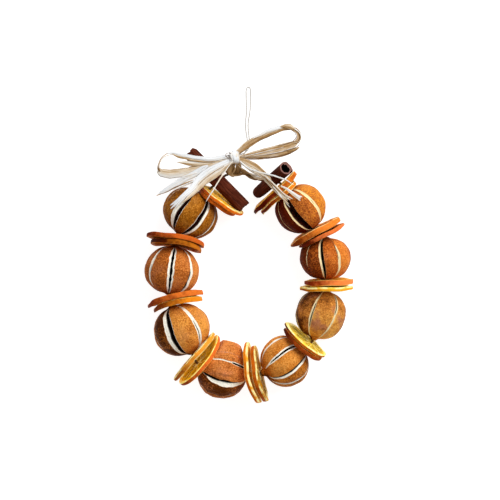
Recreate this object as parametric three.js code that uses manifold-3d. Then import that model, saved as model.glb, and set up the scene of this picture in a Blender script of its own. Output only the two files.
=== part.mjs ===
// Dried orange wreath: whole slit oranges and pairs of orange slices threaded on a string,
// with two cinnamon sticks and a raffia bow where the string is tied at the top.
//
// Units are millimetres. The wreath lies on its back: +X right, +Y up the wreath, +Z out of its
// face. Everything is laid out round the middle of the ring, then the whole is moved so that the
// origin is the middle of its underside.
import * as THREE from 'three';
import { mergeVertices } from 'three/addons/utils/BufferGeometryUtils.js';
import Module from 'manifold-3d';

const wasm = await Module();
wasm.setup();

// ---------------------------------------------------------------------------------------------
// Driving dimensions
// ---------------------------------------------------------------------------------------------
const GAP = 0.35; // clear space left between touching pieces
const REST_FLAT = 0.7; // depth of the small flat each orange rests on
const BORE_RADIUS = 3.4; // hole through an orange for the string
const SLIT_DEPTH = 5; // depth of a slit at an orange's middle
const SLIT_LIP = 2.2; // width of the curled lip on each side of a slit
const SLIT_SPACING = 50; // degrees between the slits round the back
const BACK_SLIT_GAP = 1.4; // width of each of those slits
const SEGMENT_BULGE = 0.7; // how far the rind swells between two slits
const FULLNESS = 0.86; // below 1 an orange is fuller near its ends than an egg
const ORANGE_BANDS = 7; // facets from end to end of an orange
const SLICE_HOLE = 3.8; // radius of the hole in a slice
const SLICE_SIDES = 14; // facets round a slice
const SLICE_LIFT = 0.9; // height of a slice's lowest edge
const RIM_INSET = 0.7; // how far from the hole to the edge the thick rim begins
const RIM_HALF = 0.5; // half thickness of a slice at its rim, beside it and at the hole,
const FLESH_HALF = 0.38; // each as a part of the slice's thickness
const HOLE_HALF = 0.34;
const STRING_RADIUS = 1.4;
const STRING_SIDES = 6;
const STRING_STEPS = 60;
const STRING_SAMPLES = 1600; // places tried along the string for where it goes through a slice
const QUILL_WALL = 2.1; // thickness of the cinnamon bark
const QUILL_TURNS = 1.22; // turns of bark in a stick
const QUILL_STEPS = 18; // facets along the roll of the bark
const BUNDLE_SIDES = 6; // facets round a bundle of raffia
const BUNDLE_STEPS = 2; // facets along each stretch of its route
const KNOT_SIDES = 14;
const CORD_RADIUS = 0.55;
const CORD_SIDES = 8;
const CORD_STEPS = 48;
const BLOCK = 100; // side of the block that cuts a flat
const FRONT = new THREE.Vector3(0, 0, 1); // out of the wreath's face

// Whole oranges, counted down the left side and up the right. x, y: middle. turn: direction of the
// core, degrees. head, tail: core length before and after the middle. wide, high: size across the
// ring and through it. raise: degrees that the head is lifted. slits: longitude from the front
// towards the outside of the ring, drift along the core, and width of the gap. pressed: sides dried
// flat against a neighbour, as a direction across the front, its rise and a distance.
const ORANGES = [
  { x: -61.2, y: 76.5, turn: -124, head: 23.5, tail: 26.5, wide: 58, high: 55, raise: 0,
    slits: [[-66, 0, 1.5], [-25, 3, 3.5], [24.5, 3, 2.5], [72, 0, 1.5]], pressed: [[55, 8, 22]] },
  { x: -81, y: 14.5, turn: -98, head: 26.5, tail: 24.5, wide: 56.5, high: 55, raise: 0,
    slits: [[-46, 0, 1.2], [0, 0, 2], [54, 5, 1.5]], pressed: [[-76, 0, 23.8]] },
  { x: -70.5, y: -47.6, turn: -67, head: 27.5, tail: 26, wide: 57.5, high: 56, raise: 0,
    slits: [[-35, -7, 1.5], [22, 3, 4]], pressed: [[-41, 0, 25.5]] },
  { x: -28, y: -88, turn: -12, head: 26, tail: 28, wide: 59.5, high: 57, raise: 0,
    slits: [[-59, -2, 1], [-19.5, 1, 2], [22.5, 6, 3.5]], pressed: [[140.5, 8.5, 18.2], [11, 3, 23.6]] },
  { x: 39, y: -79.5, turn: 28, head: 26.5, tail: 22, wide: 52.5, high: 53, raise: 10,
    slits: [[-72, 0, 1], [-23, -5, 1.5], [24, -12, 2.5], [65, 0, 1.2]], pressed: [[51, 7, 20.9]] },
  { x: 74.9, y: -30.5, turn: 74, head: 26.5, tail: 25.5, wide: 52.5, high: 52, raise: 0,
    slits: [[-76, 0, 1.2], [-22, 3, 1.5], [32, 7, 1.5]] },
  { x: 80.5, y: 28.5, turn: 89, head: 23, tail: 21.6, wide: 52.5, high: 52, raise: 0,
    slits: [[-50, 3, 1], [-8, -10, 2.2], [30, -12, 1.5]], pressed: [[117, 4, 20.5]] },
  { x: 53.3, y: 81.4, turn: 126, head: 26.5, tail: 22.5, wide: 53.4, high: 53, raise: -8,
    slits: [[-64, 0, 1], [-21, -4, 6], [33, -5, 2]], pressed: [[130, 3, 19.9]] },
];

// Orange slices, in pairs, each pair before the orange of the same number and one after the last.
// x, y: middle. turn: direction of the edge that shows from the front, degrees. wide, deep: size
// along that edge and through the ring. tip: degrees that the upper face is turned to the front.
// bow: how far the middle stands out towards the upper face. curl: how far the leading end bends
// to the upper face and the other end away from it.
const SLICE_PAIRS = [
  [{ x: -27.6, y: 88.4, turn: -35, wide: 51, deep: 55, thick: 4, tip: 8, bow: 0, curl: 0 },
    { x: -33.4, y: 87.1, turn: -36, wide: 45, deep: 52, thick: 3.8, tip: 8, bow: 0, curl: 0 }],
  [{ x: -77, y: 46.6, turn: -8, wide: 60.5, deep: 57, thick: 5.2, tip: -4, bow: 3.5, curl: -1.3 },
    { x: -76.5, y: 40.2, turn: -8, wide: 54, deep: 55, thick: 5.2, tip: -5, bow: 3.6, curl: -0.9 }],
  [{ x: -77, y: -15.2, turn: 14, wide: 59, deep: 56, thick: 5, tip: 0, bow: 4, curl: 0 },
    { x: -74.3, y: -21.1, turn: 13, wide: 53, deep: 54, thick: 5, tip: 1, bow: 4.2, curl: 0 }],
  [{ x: -57.2, y: -75, turn: 49, wide: 65, deep: 60, thick: 5.2, tip: 0, bow: 0, curl: 0 },
    { x: -50.4, y: -80.4, turn: 50.5, wide: 60, deep: 58, thick: 5, tip: 8.5, bow: -1, curl: 0 }],
  [{ x: 3, y: -92, turn: -79, wide: 64, deep: 60, thick: 5.2, tip: 3, bow: -3.5, curl: 0 },
    { x: 10.2, y: -93.5, turn: -77.5, wide: 59, deep: 58, thick: 4.8, tip: 4, bow: -2.5, curl: 0 }],
  [{ x: 58.6, y: -57, turn: -39, wide: 55, deep: 55, thick: 3.8, tip: 9, bow: -1, curl: 0 },
    { x: 56.4, y: -61.6, turn: -39, wide: 51.5, deep: 54, thick: 4, tip: 7, bow: -2, curl: 0 }],
  [{ x: 84, y: 3.2, turn: 1, wide: 52, deep: 54, thick: 4.4, tip: 2, bow: 0, curl: 0 },
    { x: 81, y: -3, turn: 0, wide: 55.5, deep: 55, thick: 4.6, tip: 3, bow: 0, curl: 0 }],
  [{ x: 69.6, y: 54.7, turn: 29, wide: 58, deep: 57, thick: 5.6, tip: 3, bow: 1.6, curl: 0 },
    { x: 76.8, y: 51.9, turn: 27, wide: 53, deep: 54, thick: 4.2, tip: 4, bow: 0.8, curl: 0 }],
  [{ x: 27.1, y: 96.9, turn: 41, wide: 61, deep: 55, thick: 5.6, tip: 3, bow: 0, curl: 2 },
    { x: 30.8, y: 91.7, turn: 40, wide: 49, deep: 52, thick: 5, tip: 3, bow: 0.5, curl: 1.5 }],
];

// Cinnamon sticks. x, y, z: middle. turn: direction across the front. rise: degrees that the
// leading end comes forward. long: length. radius: outside radius. roll: where the bark's edge is.
const QUILLS = {
  cinnamon_left: { x: -32.5, y: 112, z: 29, turn: -46.3, rise: 0, long: 82, radius: 6.8, roll: 200 },
  cinnamon_right: { x: 22.5, y: 108, z: 29.5, turn: 40.5, rise: 49, long: 64, radius: 6.8, roll: 300 },
};

// Raffia. Each bundle of strips follows the middle of its route; wide is across the front, a list
// of sizes spread evenly along the route, and thick is through it.
const RAFFIA = {
  raffia_twist: {
    wide: [6, 10, 8, 5.5, 6.5, 6.5, 5],
    thick: 6,
    points: [[-23.5, 118.5, 25.5], [-16.8, 118.5, 27], [-9.5, 119.5, 28.5], [-3, 117.8, 30],
      [3.2, 114.3, 32.5], [9.5, 112.2, 35], [14.5, 111.5, 37]],
  },
  bow_loop_left: {
    wide: [5, 5, 8, 11, 8, 4, 3, 3, 6, 8, 8, 8, 6, 4.5, 4.5],
    thick: 5,
    points: [[-20.2, 136, 38.8], [-32.5, 133.2, 38.8], [-46.2, 131, 38.8], [-62, 132.3, 38.8],
      [-77.5, 134.8, 38.8], [-87.2, 135.3, 38.8], [-93, 131.3, 38.8], [-95, 125.5, 38.8],
      [-92.5, 119.8, 38.8], [-83, 117.6, 38.8], [-72.5, 117.3, 38.8], [-60, 119.2, 38.8],
      [-48, 122.6, 38.8], [-34.7, 126.4, 38.8], [-20.2, 130.2, 38.8]],
  },
  bow_loop_right: {
    wide: [4.5, 7, 6.5, 6, 6, 6, 4, 4, 9, 13, 11.5, 9, 6.5, 4.5],
    thick: 5,
    points: [[-9, 138.8, 38], [-2, 146.4, 38], [6.6, 152.8, 37], [18.3, 158.8, 37.5],
      [32.5, 163.4, 38], [45, 164.4, 38], [52.3, 158.5, 38], [53.2, 151.5, 38],
      [48.5, 145.3, 38], [38, 142.2, 37.5], [22, 138.8, 37], [8, 136.6, 36.5],
      [-1, 134.6, 38], [-9, 132.4, 38]],
  },
  tail_left_long: {
    wide: [6, 10, 12, 10, 8.5, 8, 5],
    thick: 2.6,
    points: [[-20.2, 128, 43.2], [-33.6, 121.3, 43.6], [-46.2, 113.4, 45], [-56.7, 104, 48.5],
      [-64, 95.6, 52.5], [-72.5, 87.2, 54], [-79.8, 79.3, 51.5]],
  },
  tail_left_short: {
    wide: [5, 6.5, 7.5, 6.5, 5, 3],
    thick: 2.4,
    points: [[-51, 115.5, 39.5], [-60, 110.8, 39.5], [-70.4, 107, 39], [-80.9, 102.4, 38],
      [-90.3, 98.7, 37], [-97.5, 95.3, 36]],
  },
  tail_right_long: {
    wide: [5, 8, 9, 9, 9, 9, 8.5, 6, 4],
    thick: 2.6,
    points: [[-9, 128.2, 42.6], [-2.1, 125, 43], [6.3, 120.8, 45], [13.7, 116, 48],
      [20, 110.8, 52], [26.3, 105, 56.5], [32.6, 99.2, 58.5], [38.9, 92.9, 56.5], [44.1, 87.2, 54]],
  },
  tail_right_short: {
    wide: [3, 5, 5.5, 4],
    thick: 2.2,
    points: [[36, 104.5, 56.5], [43, 99.4, 56], [49.4, 95, 54.5], [54.8, 91.5, 53]],
  },
};

// The knot's wrap: a barrel lying across the wreath that the loops and tails come out of.
const KNOT = { x: -14.75, y: 133.3, z: 38, radius: 7.3, endRadius: 5.6, half: 4.5 };

// The string behind the sticks: from the first slices to under the knot, and back to the last.
const STRING_LEFT = [[-39.5, 102.4, 25], [-33.5, 108.7, 20.5], [-25.2, 115, 19.2], [-15.8, 118, 19.8]];
const STRING_RIGHT = [[-14.6, 118.1, 19.8], [-4.2, 116.6, 19.5], [6.3, 112.4, 17.5],
  [17.8, 109.3, 14.2], [29, 108.8, 22], [35.2, 105, 25]];

// ---------------------------------------------------------------------------------------------
// Helpers
// ---------------------------------------------------------------------------------------------
const radians = THREE.MathUtils.degToRad;

// The direction at an angle across the front, lifted out of it by the rise, in degrees.
function heading(turn, rise) {
  const level = Math.cos(radians(rise));
  const sideways = level * Math.cos(radians(turn));
  const upward = level * Math.sin(radians(turn));
  return new THREE.Vector3(sideways, upward, Math.sin(radians(rise)));
}

// A closed surface through rings of points: walls between neighbouring rings, and either a flat
// cap on each end or, when joined, a wall from the last ring back to the first.
function ringSolid(rings, joined) {
  const count = rings[0].length;
  const positions = [];
  for (const ring of rings) {
    for (const point of ring) positions.push(point.x, point.y, point.z);
  }
  const faces = [];
  const last = joined ? rings.length : rings.length - 1;
  for (let row = 0; row < last; row += 1) {
    const next = (row + 1) % rings.length;
    for (let column = 0; column < count; column += 1) {
      const beside = (column + 1) % count;
      const a = row * count + column;
      const b = row * count + beside;
      const c = next * count + beside;
      const d = next * count + column;
      faces.push(a, b, c, a, c, d);
    }
  }
  if (!joined) {
    for (const [row, flip] of [[0, true], [rings.length - 1, false]]) {
      const middle = new THREE.Vector3();
      for (const point of rings[row]) middle.addScaledVector(point, 1 / count);
      const centre = positions.length / 3;
      positions.push(middle.x, middle.y, middle.z);
      for (let column = 0; column < count; column += 1) {
        const here = row * count + column;
        const beside = row * count + (column + 1) % count;
        faces.push(...(flip ? [centre, beside, here] : [centre, here, beside]));
      }
    }
  }
  return facingOut(positions, faces);
}

// Turns every face round when the surface encloses a negative volume.
function facingOut(positions, faces) {
  const corner = (index) => new THREE.Vector3().fromArray(positions, index * 3);
  let volume = 0;
  for (let i = 0; i < faces.length; i += 3) {
    volume += corner(faces[i]).dot(corner(faces[i + 1]).cross(corner(faces[i + 2])));
  }
  const ordered = volume < 0 ? [...faces].reverse() : faces;
  const geometry = new THREE.BufferGeometry();
  geometry.setAttribute('position', new THREE.Float32BufferAttribute(positions, 3));
  geometry.setIndex(ordered);
  return geometry;
}

function toManifold(geometry) {
  return new wasm.Manifold(new wasm.Mesh({
    numProp: 3,
    vertProperties: new Float32Array(geometry.attributes.position.array),
    triVerts: new Uint32Array(geometry.index.array),
  }));
}

function fromManifold(solid) {
  const mesh = solid.getMesh();
  const geometry = new THREE.BufferGeometry();
  geometry.setAttribute('position', new THREE.BufferAttribute(mesh.vertProperties, 3));
  geometry.setIndex(new THREE.BufferAttribute(mesh.triVerts, 1));
  return geometry;
}

const wreath = new THREE.Group();
const ring = new THREE.Group();
wreath.add(ring);

function addPiece(name, geometry, material) {
  const mesh = new THREE.Mesh(geometry, material);
  mesh.name = name;
  ring.add(mesh);
  return mesh;
}

// ---------------------------------------------------------------------------------------------
// Materials
// ---------------------------------------------------------------------------------------------
function finish(color, roughness) {
  return new THREE.MeshStandardMaterial({ color, roughness, metalness: 0 });
}

const rindFinish = finish(0xa9622c, 0.6);
const sliceFinish = finish(0xc8782e, 0.55);
const barkFinish = finish(0x5a3020, 0.75);
const raffiaFinish = finish(0xd9c6a3, 0.8);
const stringFinish = finish(0xb59b72, 0.85);

// ---------------------------------------------------------------------------------------------
// Whole oranges
// ---------------------------------------------------------------------------------------------
// The slits of one orange: those given, then more round the back, evenly spaced.
function slitsRound(given) {
  const first = given[0][0] + 360;
  const last = given[given.length - 1][0];
  const count = Math.round((first - last) / SLIT_SPACING) - 1;
  const slits = [...given];
  for (let i = 1; i <= count; i += 1) {
    slits.push([last + ((first - last) * i) / (count + 1), 0, BACK_SLIT_GAP]);
  }
  return slits;
}

// An egg round the core, bored from end to end. Round each band, every slit is a valley with a
// lip on each side, and the rind swells between one slit and the next.
function orangeGeometry(spec) {
  const across = spec.wide / 2;
  const slits = slitsRound(spec.slits);
  const start = Math.asin((BORE_RADIUS / across) ** (1 / FULLNESS));
  const narrow = BORE_RADIUS / across;
  const rings = [];
  for (let band = 0; band <= ORANGE_BANDS; band += 1) {
    const angle = start + ((Math.PI - 2 * start) * band) / ORANGE_BANDS;
    const along = -Math.cos(angle) * (angle < Math.PI / 2 ? spec.head : spec.tail);
    const girth = Math.sin(angle) ** FULLNESS;
    const fade = (girth - narrow) / (1 - narrow);
    const drift = (slit) => slit[1] * (along / across);
    const points = [];
    const addPoint = (longitude, lift) => {
      const sideways = (across + lift) * girth * Math.sin(radians(longitude));
      const forward = (spec.high / 2 + lift) * girth * Math.cos(radians(longitude));
      points.push(new THREE.Vector3(along, -sideways, forward));
    };
    slits.forEach((slit, index) => {
      const next = slits[(index + 1) % slits.length];
      const turnOn = index === slits.length - 1 ? 360 : 0;
      const middle = slit[0] + drift(slit);
      const half = THREE.MathUtils.radToDeg((slit[2] / 2 + SLIT_LIP) / across);
      const nextHalf = THREE.MathUtils.radToDeg((next[2] / 2 + SLIT_LIP) / across);
      const nextMiddle = next[0] + turnOn + drift(next);
      addPoint(middle - half, 0);
      addPoint(middle, -(SLIT_DEPTH + slit[2] / 2) * fade);
      addPoint(middle + half, 0);
      addPoint((middle + half + nextMiddle - nextHalf) / 2, SEGMENT_BULGE * fade);
    });
    rings.push(points);
  }
  return ringSolid(rings, true);
}

// Cuts off what lies further from a piece's middle than a distance in a direction.
function cutFlat(mesh, direction, distance) {
  const block = new THREE.BoxGeometry(BLOCK, BLOCK, BLOCK);
  block.deleteAttribute('normal');
  block.deleteAttribute('uv');
  block.translate(0, 0, BLOCK / 2 + distance);
  block.applyQuaternion(new THREE.Quaternion().setFromUnitVectors(FRONT, direction));
  block.translate(...mesh.position.toArray());
  mesh.updateMatrixWorld(true);
  block.applyMatrix4(mesh.matrixWorld.clone().invert());
  mesh.geometry = fromManifold(toManifold(mesh.geometry).subtract(toManifold(mergeVertices(block))));
}

// Lowers a piece until it rests on z = 0 and cuts the small flat that it rests on.
function restOnTable(mesh) {
  mesh.updateMatrixWorld(true);
  const lowest = new THREE.Box3().setFromObject(mesh, true).min.z;
  mesh.position.z -= lowest + REST_FLAT;
  cutFlat(mesh, FRONT.clone().negate(), mesh.position.z);
}

const oranges = ORANGES.map((spec, index) => {
  const orange = addPiece(`orange_${index + 1}`, orangeGeometry(spec), rindFinish);
  orange.position.set(spec.x, spec.y, spec.high / 2);
  orange.rotation.set(0, radians(spec.raise), radians(spec.turn), 'ZYX');
  restOnTable(orange);
  for (const [turn, rise, distance] of spec.pressed ?? []) {
    cutFlat(orange, heading(turn, rise), distance);
  }
  return orange;
});

// ---------------------------------------------------------------------------------------------
// String
// ---------------------------------------------------------------------------------------------
// One round of string: up to the first orange, straight through the core of every orange, and
// back from the last, with its two ends meeting under the knot.
function stringPoints() {
  const points = STRING_LEFT.map((point) => new THREE.Vector3(...point)).reverse();
  oranges.forEach((orange, index) => {
    const { head, tail } = ORANGES[index];
    for (const along of [-head, -head / 2, 0, tail / 2, tail]) {
      points.push(orange.localToWorld(new THREE.Vector3(along, 0, 0)));
    }
  });
  const back = STRING_RIGHT.map((point) => new THREE.Vector3(...point)).reverse();
  return [...points, ...back];
}

const stringRoute = new THREE.CatmullRomCurve3(stringPoints(), false, 'centripetal');

function circleShape(radius, sides) {
  const corners = [];
  for (let i = 0; i < sides; i += 1) {
    const angle = (2 * Math.PI * i) / sides;
    corners.push(new THREE.Vector2(radius * Math.cos(angle), radius * Math.sin(angle)));
  }
  return new THREE.Shape(corners);
}

function roundTube(route, radius, sides, steps) {
  const options = { steps, bevelEnabled: false, extrudePath: route, curveSegments: 1 };
  return new THREE.ExtrudeGeometry(circleShape(radius, sides), options);
}

addPiece('string', roundTube(stringRoute, STRING_RADIUS, STRING_SIDES, STRING_STEPS), stringFinish);

// ---------------------------------------------------------------------------------------------
// Orange slices
// ---------------------------------------------------------------------------------------------
// Where the string goes through a slice, in the slice's own frame.
function holeCentre(mesh, wide) {
  const samples = stringRoute.getPoints(STRING_SAMPLES).map((point) => mesh.worldToLocal(point));
  const near = samples.filter((point) => Math.hypot(point.x, point.y) < wide / 2);
  near.sort((a, b) => Math.abs(a.z) - Math.abs(b.z));
  return near[0];
}

// A disc lying in its own XY plane: a thick rim, thinner flesh inside it, and a hole. Its middle
// is bowed along X, and its two ends are bent opposite ways by the curl.
function sliceGeometry(spec, hole, seed) {
  const height = (x) => {
    const part = x / (spec.wide / 2);
    return spec.bow * (1 - part * part) + spec.curl * part * part * part;
  };
  const rings = [];
  for (let side = 0; side < SLICE_SIDES; side += 1) {
    const angle = (2 * Math.PI * side) / SLICE_SIDES;
    const uneven = 1 + 0.02 * Math.sin(2 * angle + seed) + 0.012 * Math.sin(3 * angle + 2 * seed);
    const rim = new THREE.Vector2(Math.cos(angle) * spec.wide, Math.sin(angle) * spec.deep);
    rim.multiplyScalar(uneven / 2);
    const inner = new THREE.Vector2(Math.cos(angle), Math.sin(angle)).multiplyScalar(SLICE_HOLE);
    inner.add(hole);
    const between = inner.clone().lerp(rim, RIM_INSET);
    const section = [[inner, HOLE_HALF], [between, FLESH_HALF], [rim, RIM_HALF],
      [rim, -RIM_HALF], [between, -FLESH_HALF], [inner, -HOLE_HALF]];
    rings.push(section.map(([at, part]) => (
      new THREE.Vector3(at.x, at.y, height(at.x) + part * spec.thick))));
  }
  return ringSolid(rings, true);
}

SLICE_PAIRS.forEach((pair, index) => {
  pair.forEach((spec, place) => {
    const slice = addPiece(`slice_${index + 1}${'ab'[place]}`, new THREE.BufferGeometry(), sliceFinish);
    slice.position.set(spec.x, spec.y, spec.deep / 2 + SLICE_LIFT);
    slice.rotation.set(radians(spec.tip - 90), 0, radians(spec.turn), 'ZYX');
    slice.updateMatrixWorld(true);
    slice.geometry = sliceGeometry(spec, holeCentre(slice, spec.wide), index * 2 + place);
  });
});

// ---------------------------------------------------------------------------------------------
// Cinnamon
// ---------------------------------------------------------------------------------------------
// The end of a stick: bark of even thickness rolled inwards, drawn as the outside of the roll
// one way and the inside of it back.
function quillShape(spec) {
  const pitch = QUILL_WALL + GAP;
  const outline = [];
  const addPoint = (step, inset) => {
    const turns = (QUILL_TURNS * step) / QUILL_STEPS;
    const radius = spec.radius - pitch * turns - inset;
    const angle = radians(spec.roll) + 2 * Math.PI * turns;
    outline.push(new THREE.Vector2(radius * Math.cos(angle), radius * Math.sin(angle)));
  };
  for (let step = 0; step <= QUILL_STEPS; step += 1) addPoint(step, 0);
  for (let step = QUILL_STEPS; step >= 0; step -= 1) addPoint(step, QUILL_WALL);
  return new THREE.Shape(outline);
}

for (const [name, spec] of Object.entries(QUILLS)) {
  const geometry = new THREE.ExtrudeGeometry(quillShape(spec), { depth: spec.long, bevelEnabled: false });
  geometry.translate(0, 0, -spec.long / 2);
  const quill = addPiece(name, geometry, barkFinish);
  quill.position.set(spec.x, spec.y, spec.z);
  quill.rotation.set(0, radians(90 - spec.rise), radians(spec.turn), 'ZYX');
}

// ---------------------------------------------------------------------------------------------
// Raffia bow
// ---------------------------------------------------------------------------------------------
// A bundle of strips as a bar of six-sided section whose width lies across the front.
function bundleGeometry(spec) {
  const route = new THREE.CatmullRomCurve3(spec.points.map((point) => new THREE.Vector3(...point)));
  const steps = (spec.points.length - 1) * BUNDLE_STEPS;
  const rings = [];
  for (let step = 0; step <= steps; step += 1) {
    const at = step / steps;
    const tangent = route.getTangent(at);
    const sideways = new THREE.Vector3().crossVectors(FRONT, tangent).normalize();
    const forward = new THREE.Vector3().crossVectors(tangent, sideways).normalize();
    const place = at * (spec.wide.length - 1);
    const before = Math.min(Math.floor(place), spec.wide.length - 2);
    const wide = THREE.MathUtils.lerp(spec.wide[before], spec.wide[before + 1], place - before);
    const points = [];
    for (let corner = 0; corner < BUNDLE_SIDES; corner += 1) {
      const angle = (2 * Math.PI * (corner + 0.5)) / BUNDLE_SIDES;
      points.push(route.getPoint(at)
        .addScaledVector(sideways, (Math.cos(angle) * wide) / 2)
        .addScaledVector(forward, (Math.sin(angle) * spec.thick) / 2));
    }
    rings.push(points);
  }
  return ringSolid(rings, false);
}

for (const [name, spec] of Object.entries(RAFFIA)) {
  addPiece(name, bundleGeometry(spec), raffiaFinish);
}

const barrel = [[0, -KNOT.half], [KNOT.endRadius, -KNOT.half], [KNOT.radius, -KNOT.half / 2],
  [KNOT.radius, KNOT.half / 2], [KNOT.endRadius, KNOT.half], [0, KNOT.half]];
const knotProfile = barrel.map(([radius, along]) => new THREE.Vector2(radius, along));
const knot = addPiece('knot', new THREE.LatheGeometry(knotProfile, KNOT_SIDES), raffiaFinish);
knot.position.set(KNOT.x, KNOT.y, KNOT.z);
knot.rotation.set(0, 0, Math.PI / 2);

// ---------------------------------------------------------------------------------------------
// Hanging loop
// ---------------------------------------------------------------------------------------------
// A thin cord out of the knot, down to the table, along it to a narrow eye and back beside
// itself.
const CORD_ROUTE = [[-9.9, 134.6, 31.4], [-6.6, 136, 31], [-4, 139.5, 28.5], [-2.3, 144, 22.5],
  [-1.7, 148.5, 14.5], [-1.8, 153, 7], [-2.5, 158, 2.2], [-3.2, 163, 0.7], [-3.7, 168, 0.6],
  [-3.3, 175, 0.6], [-2.7, 182, 0.6], [-2.8, 190, 0.6], [-2.9, 198, 0.6], [-2.9, 206, 0.6],
  [-2.3, 208.2, 0.6], [-0.6, 209.2, 0.6], [1.1, 208.2, 0.6], [1.7, 206, 0.6], [1.6, 198, 0.6],
  [1.5, 190, 0.6], [0.9, 182, 0.6], [-0.4, 175, 0.6], [-0.9, 168, 0.6], [-0.5, 163, 0.7],
  [0, 158, 2.2], [0.3, 153, 7], [0.2, 148.5, 14.5], [-0.3, 144.5, 22.8], [-2, 141, 29],
  [-5.6, 138, 31.8], [-9.9, 136.7, 31.8]];

const cordPoints = CORD_ROUTE.map((point) => new THREE.Vector3(...point));
const cordRoute = new THREE.CatmullRomCurve3(cordPoints, false, 'centripetal');

// ---------------------------------------------------------------------------------------------
// Origin: the middle of the underside of everything but the hanging loop
// ---------------------------------------------------------------------------------------------
ring.updateMatrixWorld(true);
const extent = new THREE.Box3().setFromObject(ring, true);
const centre = extent.getCenter(new THREE.Vector3());
ring.position.set(-centre.x, -centre.y, -extent.min.z);
addPiece('hanging_loop', roundTube(cordRoute, CORD_RADIUS, CORD_SIDES, CORD_STEPS), stringFinish);

export default wreath;
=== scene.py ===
# %% [markdown]
# # A wreath of dried oranges
#
# Eight whole oranges, slit and dried until the rind is leather, are threaded on a string with
# pairs of orange slices between them. Two cinnamon sticks and a raffia bow cover the place where
# the string is tied. The wreath lies on its back, so its face looks up.
#
# Everything here is a surface worked out with numpy: a grid of points, given by a formula in two
# directions, becomes a mesh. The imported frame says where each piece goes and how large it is.

# %% Load the frame
import itertools
import math
from collections import namedtuple

import bpy
import numpy as np
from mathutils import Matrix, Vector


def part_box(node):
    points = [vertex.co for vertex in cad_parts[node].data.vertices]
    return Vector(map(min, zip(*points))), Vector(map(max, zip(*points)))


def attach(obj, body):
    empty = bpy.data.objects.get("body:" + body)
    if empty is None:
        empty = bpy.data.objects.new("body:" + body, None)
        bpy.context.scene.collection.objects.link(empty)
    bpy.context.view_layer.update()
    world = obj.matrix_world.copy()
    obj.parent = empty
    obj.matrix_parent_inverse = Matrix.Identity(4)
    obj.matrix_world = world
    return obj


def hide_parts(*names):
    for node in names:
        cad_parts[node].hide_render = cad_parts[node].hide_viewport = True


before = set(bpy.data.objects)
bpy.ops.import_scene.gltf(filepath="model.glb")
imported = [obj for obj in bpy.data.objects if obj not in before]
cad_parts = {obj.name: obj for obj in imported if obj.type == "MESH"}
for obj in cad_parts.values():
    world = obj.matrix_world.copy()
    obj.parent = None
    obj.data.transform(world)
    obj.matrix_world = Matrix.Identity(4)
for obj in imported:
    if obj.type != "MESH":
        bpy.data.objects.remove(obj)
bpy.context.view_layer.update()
print("frame nodes:", len(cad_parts))

# %% [markdown]
# ## Units and the middle of the ring
#
# The pieces are laid out in millimetres round the middle of the ring, as the construction is.
# The frame has its origin elsewhere, so the knot, whose middle is known in both, gives the shift
# from one to the other.

# %% Units and the shift
MILLIMETRE = 0.001
KNOT_MIDDLE = np.array([-14.75, 133.3, 38.0])
FRONT = np.array([0.0, 0.0, 1.0])


def box_middle(node):
    """The middle of a frame node's box, in millimetres."""
    low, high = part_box(node)
    return (np.array(low) + np.array(high)) / 2 / MILLIMETRE


def top_of(node):
    """The highest point of a frame node's box, in millimetres."""
    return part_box(node)[1].z / MILLIMETRE


SHIFT = box_middle("knot") - KNOT_MIDDLE
print("shift from the middle of the ring, mm:", SHIFT.round(3))

# %% [markdown]
# ## Camera, floor and light
#
# The wreath is seen square on, so the camera stands straight above it and far away, with a long
# lens that keeps all the oranges the same shape. One large soft lamp to the upper right gives
# each orange a light and a dark side. The shadows could be filled by more lamps, but a white
# surround does it evenly. The floor is a pale table lit softly from within, which keeps the
# shadows on it faint.

# %% Camera, floor and light
VIEW_WIDTH = 0.525
VIEW_MIDDLE = np.array([1.05, 36.75, 27.0])
CAMERA_DISTANCE = 3.0
SENSOR = 36.0
FLOOR_SIZE = 6.0
FLOOR_GREY = 0.42
FLOOR_ROUGHNESS = 0.9
FLOOR_GLOW = 0.86
SKY_STRENGTH = 0.27
WHITE = (1, 1, 1, 1)


def add_object(name, data):
    """An object in the scene that shows this data."""
    thing = bpy.data.objects.new(name, data)
    bpy.context.scene.collection.objects.link(thing)
    return thing


def add_camera():
    """A camera whose lens shows the view's width at its distance."""
    data = bpy.data.cameras.new("camera")
    data.sensor_width = SENSOR
    data.lens = SENSOR * CAMERA_DISTANCE / VIEW_WIDTH
    camera = add_object("camera", data)
    camera.location = (VIEW_MIDDLE + SHIFT) * MILLIMETRE + FRONT * CAMERA_DISTANCE
    bpy.context.scene.camera = camera
    return camera


def add_lamp(name, place, size, power, colour):
    """A square soft lamp that faces the middle of the wreath."""
    data = bpy.data.lights.new(name, "AREA")
    data.size, data.energy, data.color = size, power, colour
    lamp = add_object(name, data)
    x, y, z = place
    lamp.location = place
    lamp.rotation_euler = (math.acos(z / math.hypot(x, y, z)), 0, math.atan2(-y, -x) - math.pi / 2)


def add_floor():
    """A square table round the middle, grey and glowing."""
    half = FLOOR_SIZE / 2
    mesh = bpy.data.meshes.new("floor")
    corners = [(-half, -half, 0), (half, -half, 0), (half, half, 0), (-half, half, 0)]
    mesh.from_pydata(corners, [], [(0, 1, 2, 3)])
    coat = bpy.data.materials.new("floor_paint")
    coat.use_nodes = True
    inputs = coat.node_tree.nodes["Principled BSDF"].inputs
    inputs["Base Color"].default_value = (FLOOR_GREY, FLOOR_GREY, FLOOR_GREY, 1)
    inputs["Roughness"].default_value = FLOOR_ROUGHNESS
    inputs["Emission Color"].default_value = WHITE
    inputs["Emission Strength"].default_value = FLOOR_GLOW
    mesh.materials.append(coat)
    add_object("floor", mesh)


def add_sky():
    """A white surround that lights everything evenly."""
    world = bpy.data.worlds.new("studio")
    world.use_nodes = True
    inputs = world.node_tree.nodes["Background"].inputs
    inputs["Color"].default_value = WHITE
    inputs["Strength"].default_value = SKY_STRENGTH
    bpy.context.scene.world = world


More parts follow.
